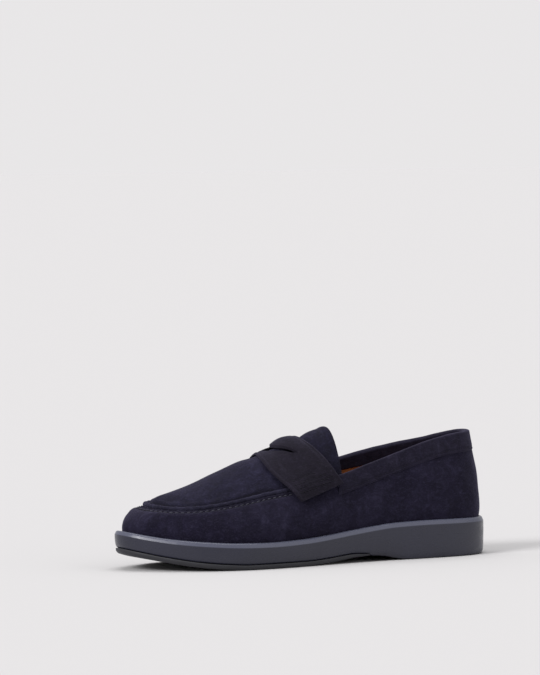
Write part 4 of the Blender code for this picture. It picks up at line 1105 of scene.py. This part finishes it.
for a in np.linspace(1, 0, 16):
    q, n, up = wall_frames(tb, h0 + (1 - h0) * (1 - depth_in * (1 - a)))
    sec.append(q - n * 4.35)
    xs.append(np.full(len(tb), BAND_DROP + 4 + (1 - a) * BAND_DROP))
sec = np.stack(sec, 1)
xs = np.stack(xs, 1)
fp = sec.reshape(-1, 3)
x = xs.reshape(-1)
loss = np.minimum(round_edge(x, .44) + round_edge(2 * BAND_DROP + 4 - x, .44), .44)
move = .12 * soft_noise(fp, 30, 2) + .06 * soft_noise(fp, 12, 3)
move += .30 * np.exp(-((x - 1.0) / .75)**2) - .20 * np.exp(-((x - 2.7) / .6)**2)
p, q = thick(fp, grid_quads(len(tb), sec.shape[1]), .45 + move * np.clip(x / .4, 0, 1) - loss, .45 - loss * .8,
             toward=None)
make("collar_band_suede", p, q, SUEDE_BAND, replaces=["collar_band"], angle=0)

# tonal stitches above the lower edge of the band
line_h = h0 + (1 - h0) * (2.7 / BAND_DROP)
bq, bn, _ = wall_frames(tb, line_h)
bl = bq + bn * (.20 + .45 * smooth01(np.array([2.7 / BAND_DROP * 3])) + .26)
_, bu, bd = arc_at(bl, 2.3, start=3.0, end=None)
items = []
for u0 in bu[:-1]:
    us = u0 + np.linspace(-.80, .80, 6)
    c = np.stack([np.interp(us, bd, bl[:, i]) for i in range(3)], 1)
    nn = unit(np.stack([np.interp(us, bd, bn[:, i]) for i in range(3)], 1))
    lift = np.array([-.45, .02, .08, .08, .02, -.45])
    items.append(stitch(c + nn * lift[:, None], .19, 8))
p, q = gather(items)
make("collar_stitches", p, q, YARN_DARK, angle=0)

# ---------------------------------------------------------------- linings and foam of the collar


def lining(name, t, top, depth, thickness, mat, node, rows=22, wrinkle=.0, start=4.3):
    g = [ring_t(0.0, level(start), t), feather(t)[0]] + [wall_point(t, h) for h in np.linspace(.05, top, rows)]
    g = np.stack(g, 1)
    f = g.reshape(-1, 3)
    d = depth + wrinkle * soft_noise(f, 18, 4)
    p, q = thick(f, grid_quads(len(t), g.shape[1]), -d, depth + thickness + (d - depth), toward=(150, 3, 30))
    return make(name, p, q, mat, replaces=[node], angle=0)


LINING_D = WALL_T + GAP + STIFFENER_T + GAP
tq = (t_run(T56 - PERIMETER, T16, 1.6)) % PERIMETER
lining("quarter_lining_leather", tq, .88, LINING_D, LINING_T, TAN, "quarter_lining", 26, .06)
tv = t_run(float(column_t(16.06)), float(column_t(55.94)), 1.8)
lining("vamp_lining_leather", tv, .88, LINING_D, LINING_T, TAN, "vamp_lining", 16, .04)
tf = t_run(float(column_t(58)) - PERIMETER, float(column_t(14)), 1.8) % PERIMETER
g = np.stack([wall_point(tf, h) for h in np.linspace(.70, .88, 10)], 1)
xe = np.minimum(np.linspace(.70, .88, 10) - .70, .88 - np.linspace(.70, .88, 10))[None, :] * wall_rise(tf)[:, None]
f = g.reshape(-1, 3)
ll = np.minimum(round_edge(xe, .36), .36).reshape(-1)
p, q = thick(f, grid_quads(len(tf), 10), -(WALL_T + GAP) - ll, WALL_T + GAP + STIFFENER_T - ll, toward=(150, 3, 30))
make("collar_foam_strip", p, q, FOAM, replaces=["collar_foam"], angle=0)

# ---------------------------------------------------------------- lofted bottom pieces
NR = 480


def ring_k(n=NR):
    """Columns spread evenly by length, the same on both sides of the heel-to-toe line."""
    half_l = np.linspace(0, T_TIP, n // 2 + 1)
    half_m = np.linspace(T_TIP, PERIMETER, n // 2 + 1)[1:-1]
    return k_of_t(np.concatenate([half_l, half_m]))


def cap_grid(ring, m, z=None):
    """Points across the shoe between the two sides of a ring."""
    n = len(ring)
    j = np.arange(n // 2 + 1)
    a, b = ring[j], ring[(n - j) % n]
    u = np.linspace(0, 1, m + 1)[None, :, None]
    g = a[:, None] * (1 - u) + b[:, None] * u
    if z is not None:
        w = np.sin(np.pi * u[:, :, 0])
        g[:, :, 2] += z(g[:, :, 0], g[:, :, 1], u[:, :, 0]) * np.minimum(1, 3 * w)
    return g.reshape(-1, 3), grid_quads(n // 2 + 1, m + 1)


def loft(rings, m=8, top=None, bottom=None):
    n = len(rings[0])
    pts = np.vstack(rings)
    i = np.arange(len(rings) - 1)[:, None]
    k = np.arange(n)[None, :]
    k2 = (k + 1) % n
    side = np.stack([i * n + k, i * n + k2, (i + 1) * n + k2, (i + 1) * n + k], -1).reshape(-1, 4)
    p, q = gather([(pts, side), cap_grid(rings[0], m, bottom), cap_grid(rings[-1], m, top)])
    p, q, _, _ = weld(p, q, 1e-3)
    return p, q


RK = ring_k()


def soft_slab(name, inset, z0, z1, mat, node, r=.5, n=240, m=12, top=None, bottom=None):
    k = ring_k(n)
    e = min(r, (z1 - z0) * .48)
    rings = [inset_ring(inset + e, level(z0), k)]
    for a in (30, 60, 90):
        c = math.radians(a)
        rings.append(inset_ring(inset + e - e * math.sin(c), level(z0 + e - e * math.cos(c)), k))
    for a in (90, 60, 30, 0):
        c = math.radians(a)
        rings.append(inset_ring(inset + e - e * math.sin(c), level(z1 - e + e * math.cos(c)), k))
    p, q = loft(rings, m, top, bottom)
    return make(name, p, q, mat, replaces=[node], angle=50)


def foot_dish(s, y, u):
    return -.25 * np.exp(-((s - 40) / 30)**2 - (y / 20)**2) - .18 * np.exp(-((s - 205) / 32)**2 - ((y + 4) / 28)**2)


soft_slab("sock_leather_insole", 4.3, 7.3, 8.3, SOCK, "sock_lining", .4, 300, 30, top=foot_dish,
          bottom=foot_dish)
soft_slab("footbed_foam_layer", 4.3, 4.0, 6.95, FOAM, "footbed_foam", .8, 240, 16)
soft_slab("insole_board_sheet", 2.2, 1.9, 3.7, BOARD, "insole_board", .4, 240, 12)


def oval(cs, cy, a, b, n=24, power=2.6):
    q = np.linspace(0, 2 * math.pi, n, endpoint=False)
    c, d = np.cos(q), np.sin(q)
    return np.column_stack([cs + a * np.sign(c) * np.abs(c)**(2 / power), cy + b * np.sign(d) * np.abs(d)**(2 / power)])


rings = []
for f, z in ((.955, 9.3), (.985, 9.5), (1.0, 10.1), (1.005, 12), (1.005, 14.5), (1.0, 16.4), (.985, 17.0), (.95, 17.2)):
    rings.append(np.column_stack([oval(37, 0, 22 * f, 16 * f, 96), np.full(96, z)]))
rings = [np.roll(r, 48, axis=0) for r in rings]
p, q = loft(rings, 10, top=lambda s, y, u: -.4 * np.exp(-((s - 37) / 12)**2 - (y / 9)**2))
make("heel_cushion_foam", p, q, FOAM, replaces=["heel_cushion"], angle=50)

# ---------------------------------------------------------------- cup sole


def z_under(s):
    return z_ground(s) + np.where(s > 112.5, pad_thickness(s) + GAP, 0.0)


cup = [(3.2, lambda s: z_under(s)), (2.5, lambda s: z_under(s) + .10), (1.75, lambda s: z_under(s) + .38),
       (1.25, lambda s: z_under(s) + .75), (.9, lambda s: z_under(s) + 1.3), (.68, lambda s: z_under(s) + 1.95),
       (.52, lambda s: z_under(s) + 2.7)]
rings = [inset_ring(a, z, RK, plain=True) for a, z in cup]
for f in (.08, .18, .3, .42, .54, .66, .78, .88, .95):
    rings.append(inset_ring(.50 * (1 - f) - .16 * math.sin(math.pi * f),
                            lambda s, f=f: (z_under(s) + 2.7) * (1 - f) + z_crease(s) * f, RK, plain=True))
for a, dz in ((-.03, -.28), (.0, .0), (.06, .22), (.20, .50), (.40, .95), (.66, 1.55), (.92, 2.1), (1.15, 2.5),
              (1.45, 2.85), (1.85, 3.12), (2.35, 3.28), (2.9, 3.38), (3.4, 3.42)):
    rings.append(inset_ring(a, lambda s, dz=dz: z_crease(s) + dz, RK, plain=True))
rings += [inset_ring(-.75, lambda s: z_rim(s) + .02, RK), inset_ring(-.5, lambda s: z_rim(s) - .15, RK),
          inset_ring(-.4, lambda s: z_rim(s) - .6, RK), inset_ring(-.4, z_floor, RK)]
p, q = loft(rings, 10)
sole = make("sole_raw", p, q, None, angle=0)


def heel_outline(inset_mm, front):
    pts = []
    for k in np.linspace(-9, 9, 73):
        a = inset_ring(inset_mm, z_ground, [k % N_COL], plain=True)[0]
        if a[0] < front - 2:
            pts.append((a[0], a[1]))
    w = abs(pts[0][1]) + .4
    for a in np.linspace(-1, 1, 25):
        pts.append((front - 7 * (1 - a * a), w * a))
    return np.array(pts)


sole = bake(sole, [prism("heel_pocket", heel_outline(6.7, 68.3), -5.0, HEEL_PAD_T + GAP),
                   prism("cushion_pocket", oval(37, 0, 22.4, 16.4, 64), 9.0, 40.0)],
            "cup_sole_rubber", RUBBER, ["cup_sole"], angle=38)
co = np.zeros(len(sole.data.vertices) * 3)
sole.data.vertices.foreach_get("co", co)
co = co.reshape(-1, 3) * 1000
# Rim attribute: 1 on the bevelled band above the crease, where the rubber gets its painted highlight.
zr = co[:, 2] - z_crease(np.clip(LENGTH / 2 - co[:, 0], 0, 300))
attr = sole.data.attributes.new("rim", 'FLOAT', 'POINT')
attr.data.foreach_set("value", np.clip((zr + .15) / .5, 0, 1).astype(np.float32))

# ---------------------------------------------------------------- treads


def tread_depth(s, y, x_edge):
    """Wavy cross grooves inside a plain border."""
    ph = (s + 2.2 * np.cos(y / 7.0)) / 8.4
    groove = smooth01((.17 - np.abs(ph - np.round(ph))) / .06)
    sipe = smooth01((.035 - np.abs(ph + .5 - np.round(ph + .5))) / .02) * .5
    return np.maximum(groove, sipe) * smooth01((x_edge - 6.5) / 1.0)


TREAD_K = 13
side_t = np.concatenate([np.linspace(float(column_t(TREAD_K)), T_TIP, 300)])
side_m = PERIMETER + 0 * side_t
s_l = outline(side_t)[:, 0]
m_dense = np.linspace(T_TIP, PERIMETER, 3000)
s_md = outline(m_dense)[:, 0]
t_med = np.interp(s_l[::-1], s_md[::-1], m_dense[::-1])[::-1]
t_med[-1] = T_TIP
k_l, k_m = k_of_t(side_t), k_of_t(t_med)
M = 64


def station_grid(inset_mm, z):
    a, b = inset_ring(inset_mm, z, k_l, plain=True), inset_ring(inset_mm, z, k_m, plain=True)
    u = np.linspace(0, 1, M + 1)
    u = u + .0
    g = a[:, None] * (1 - u)[None, :, None] + b[:, None] * u[None, :, None]
    g[-1] = (a[-1] + b[-1]) / 2
    return g


levels = [(3.4, lambda s: z_ground(s)), (2.4, lambda s: z_ground(s) + .03 * pad_thickness(s)),
          (1.5, lambda s: z_ground(s) + .18 * pad_thickness(s)), (.95, lambda s: z_ground(s) + .40 * pad_thickness(s)),
          (.72, lambda s: z_ground(s) + .66 * pad_thickness(s)), (.70, lambda s: z_ground(s) + .9 * pad_thickness(s)),
          (.85, lambda s: z_ground(s) + pad_thickness(s))]
grids = [station_grid(a, z) for a, z in levels]
g0 = grids[0].copy()
xe = np.minimum(np.linalg.norm(g0 - g0[:, :1], axis=2), np.linalg.norm(g0 - g0[:, -1:], axis=2))
xe = np.minimum(xe, (g0[:, :, 0] - g0[0, 0, 0]) * 1.0)
xe = np.minimum(xe, (296 - g0[:, :, 0]) * 1.0)
g0[:, :, 2] += 1.5 * tread_depth(g0[:, :, 0], g0[:, :, 1], xe) * np.clip(pad_thickness(g0[:, :, 0]) / 3.6, .2, 1)


def loop_of(g):
    return np.vstack([g[:, 0], g[::-1, -1][1:], g[0, ::-1][1:-1]])


items = [(g0.reshape(-1, 3), grid_quads(len(side_t), M + 1))]
loops = [loop_of(grids[0])] + [loop_of(g) for g in grids[1:]]
n = len(loops[0])
i = np.arange(len(loops) - 1)[:, None]
k = np.arange(n)[None, :]
k2 = (k + 1) % n
items.append((np.vstack(loops), np.stack([i * n + k, i * n + k2, (i + 1) * n + k2, (i + 1) * n + k], -1).reshape(-1, 4)))
items.append((grids[-1].reshape(-1, 3), grid_quads(len(side_t), M + 1)))
p, q = gather(items)
p, q, _, _ = weld(p, q, 1e-3)
make("forefoot_tread", p, q, TREAD, replaces=["forefoot_outsole"], angle=40)

# heel tread: rows from the round back to the hollowed front edge
dense_l = inset_ring(7.0, z_ground, k_of_t(np.linspace(0, float(column_t(9)), 400)), plain=True)
dense_m = inset_ring(7.0, z_ground, k_of_t(np.linspace(PERIMETER, float(column_t(63)), 400)), plain=True)
uu = np.linspace(0, 1, 120)**1.6
aa = np.linspace(-1, 1, 61)
s0, s1 = dense_l[0, 0], 68.0


def heel_surface(z, shrink=0.0, pattern=False):
    st = s0 + shrink + uu[:, None] * (s1 - shrink - 7 * (1 - aa[None, :]**2) - s0 - shrink)
    wl = np.interp(st, dense_l[:, 0] + shrink, -dense_l[:, 1] - shrink)
    wm = np.interp(st, dense_m[:, 0] + shrink, dense_m[:, 1] - shrink)
    wl, wm = np.maximum(wl, 0), np.maximum(wm, 0)
    wl[0], wm[0] = 0, 0
    y = np.where(aa[None, :] < 0, aa[None, :] * wl, aa[None, :] * wm)
    zz = np.full_like(y, z)
    if pattern:
        e = np.minimum((1 - np.abs(aa[None, :])) * 30, np.minimum(st - s0, s1 - 7 * (1 - aa[None, :]**2) - st))
        zz += 1.1 * tread_depth(st, y, e + 1.5)
    return np.stack([st, y, zz], 2)


hl = [heel_surface(0, .5, True), heel_surface(.12, .15), heel_surface(.5, 0), heel_surface(1.7, 0),
      heel_surface(2.0, .25)]
hl[0][:, :, 2] *= 1.0
items = [(hl[0].reshape(-1, 3), grid_quads(len(uu), len(aa)))]
flat0 = heel_surface(0, .5)
loops = [loop_of(g) for g in [flat0] + hl[1:]]
n = len(loops[0])
i = np.arange(len(loops) - 1)[:, None]
k = np.arange(n)[None, :]
k2 = (k + 1) % n
items.append((np.vstack(loops), np.stack([i * n + k, i * n + k2, (i + 1) * n + k2, (i + 1) * n + k], -1).reshape(-1, 4)))
items.append((hl[-1].reshape(-1, 3), grid_quads(len(uu), len(aa))))
p, q = gather(items)
p, q, _, _ = weld(p, q, 1e-3)
make("heel_tread", p, q, TREAD, replaces=["heel_outsole"], angle=40)

# ---------------------------------------------------------------- frame nodes that stay
for node, mat in (("heel_counter", STIFF), ("toe_puff", STIFF), ("shank", STEEL), ("bottom_filler", FELT)):
    mesh = NODES[node].data
    mesh.materials.clear()
    mesh.materials.append(mat)

# ---------------------------------------------------------------- floor, light and camera
def stage_material():
    mat = bpy.data.materials.new("studio_paper")
    mat.use_nodes = True
    b = mat.node_tree.nodes["Principled BSDF"]
    b.inputs["Base Color"].default_value = (*PAPER, 1)
    b.inputs["Roughness"].default_value = 1.0
    b.inputs["Specular IOR Level"].default_value = 0.0
    return mat


mesh = bpy.data.meshes.new("studio_floor")
ring = [(60 * math.cos(a), 60 * math.sin(a), 0.0) for a in np.linspace(0, 2 * math.pi, 96, endpoint=False)]
mesh.from_pydata([(0, 0, 0)] + ring, [], [(0, i + 1, (i + 1) % 96 + 1) for i in range(96)])
floor = bpy.data.objects.new("studio_floor", mesh)
mesh.materials.append(stage_material())
bpy.context.scene.collection.objects.link(floor)

world_data = bpy.data.worlds.new("studio")
bpy.context.scene.world = world_data
world_data.use_nodes = True
wt = world_data.node_tree
bg = wt.nodes.get("Background")
bg.inputs["Color"].default_value = (1.0, 0.99, 1.0, 1)
bg.inputs["Strength"].default_value = WORLD
paper = wt.nodes.new("ShaderNodeBackground")
paper.inputs["Color"].default_value = (*PAPER_SEEN, 1)
path = wt.nodes.new("ShaderNodeLightPath")
both = wt.nodes.new("ShaderNodeMixShader")
wt.links.new(path.outputs["Is Camera Ray"], both.inputs[0])
wt.links.new(bg.outputs[0], both.inputs[1])
wt.links.new(paper.outputs[0], both.inputs[2])
wt.links.new(both.outputs[0], wt.nodes["World Output"].inputs["Surface"])


def sky_light(name, toward, strength, spread, color=(1, 1, 1)):
    """Wide even light from one side; `toward` is the direction it comes from."""
    data = bpy.data.lights.new(name, 'SUN')
    data.energy = strength
    data.angle = math.radians(spread)
    data.color = color
    obj = bpy.data.objects.new(name, data)
    obj.rotation_euler = Vector(toward).to_track_quat('Z', 'Y').to_euler()
    bpy.context.scene.collection.objects.link(obj)


for args in LIGHTS:
    sky_light(*args)

TH, EL, ROLL = math.radians(25.296), math.radians(4.199), math.radians(-0.822)
DIST, FOCAL = 3700.39, 4925.45
d = np.array([math.sin(TH) * math.cos(EL), math.cos(TH) * math.cos(EL), -math.sin(EL)])
r = np.array([math.cos(TH), -math.sin(TH), 0])
up = np.cross(r, d)
r2 = r * math.cos(ROLL) + up * math.sin(ROLL)
up2 = -r * math.sin(ROLL) + up * math.cos(ROLL)
eye = np.array([0, Y_SHIFT, 45.0]) - d * DIST
look = unit(d - (31.73 / FOCAL) * r2 + (163.18 / FOCAL) * up2)
right = unit(r2 - look * (r2 @ look))
upward = np.cross(right, look)
cam_data = bpy.data.cameras.new("camera")
cam_data.sensor_width = 36
cam_data.lens = FOCAL * 36 / 675
cam_data.clip_end = 50
cam = bpy.data.objects.new("camera", cam_data)
m = Matrix.Identity(4)
for i in range(3):
    m[i][0], m[i][1], m[i][2] = right[i], upward[i], -look[i]
    m[i][3] = eye[i] / 1000.0
cam.matrix_world = m
bpy.context.scene.collection.objects.link(cam)
bpy.context.scene.camera = cam
bpy.context.scene.view_settings.view_transform = 'Standard'
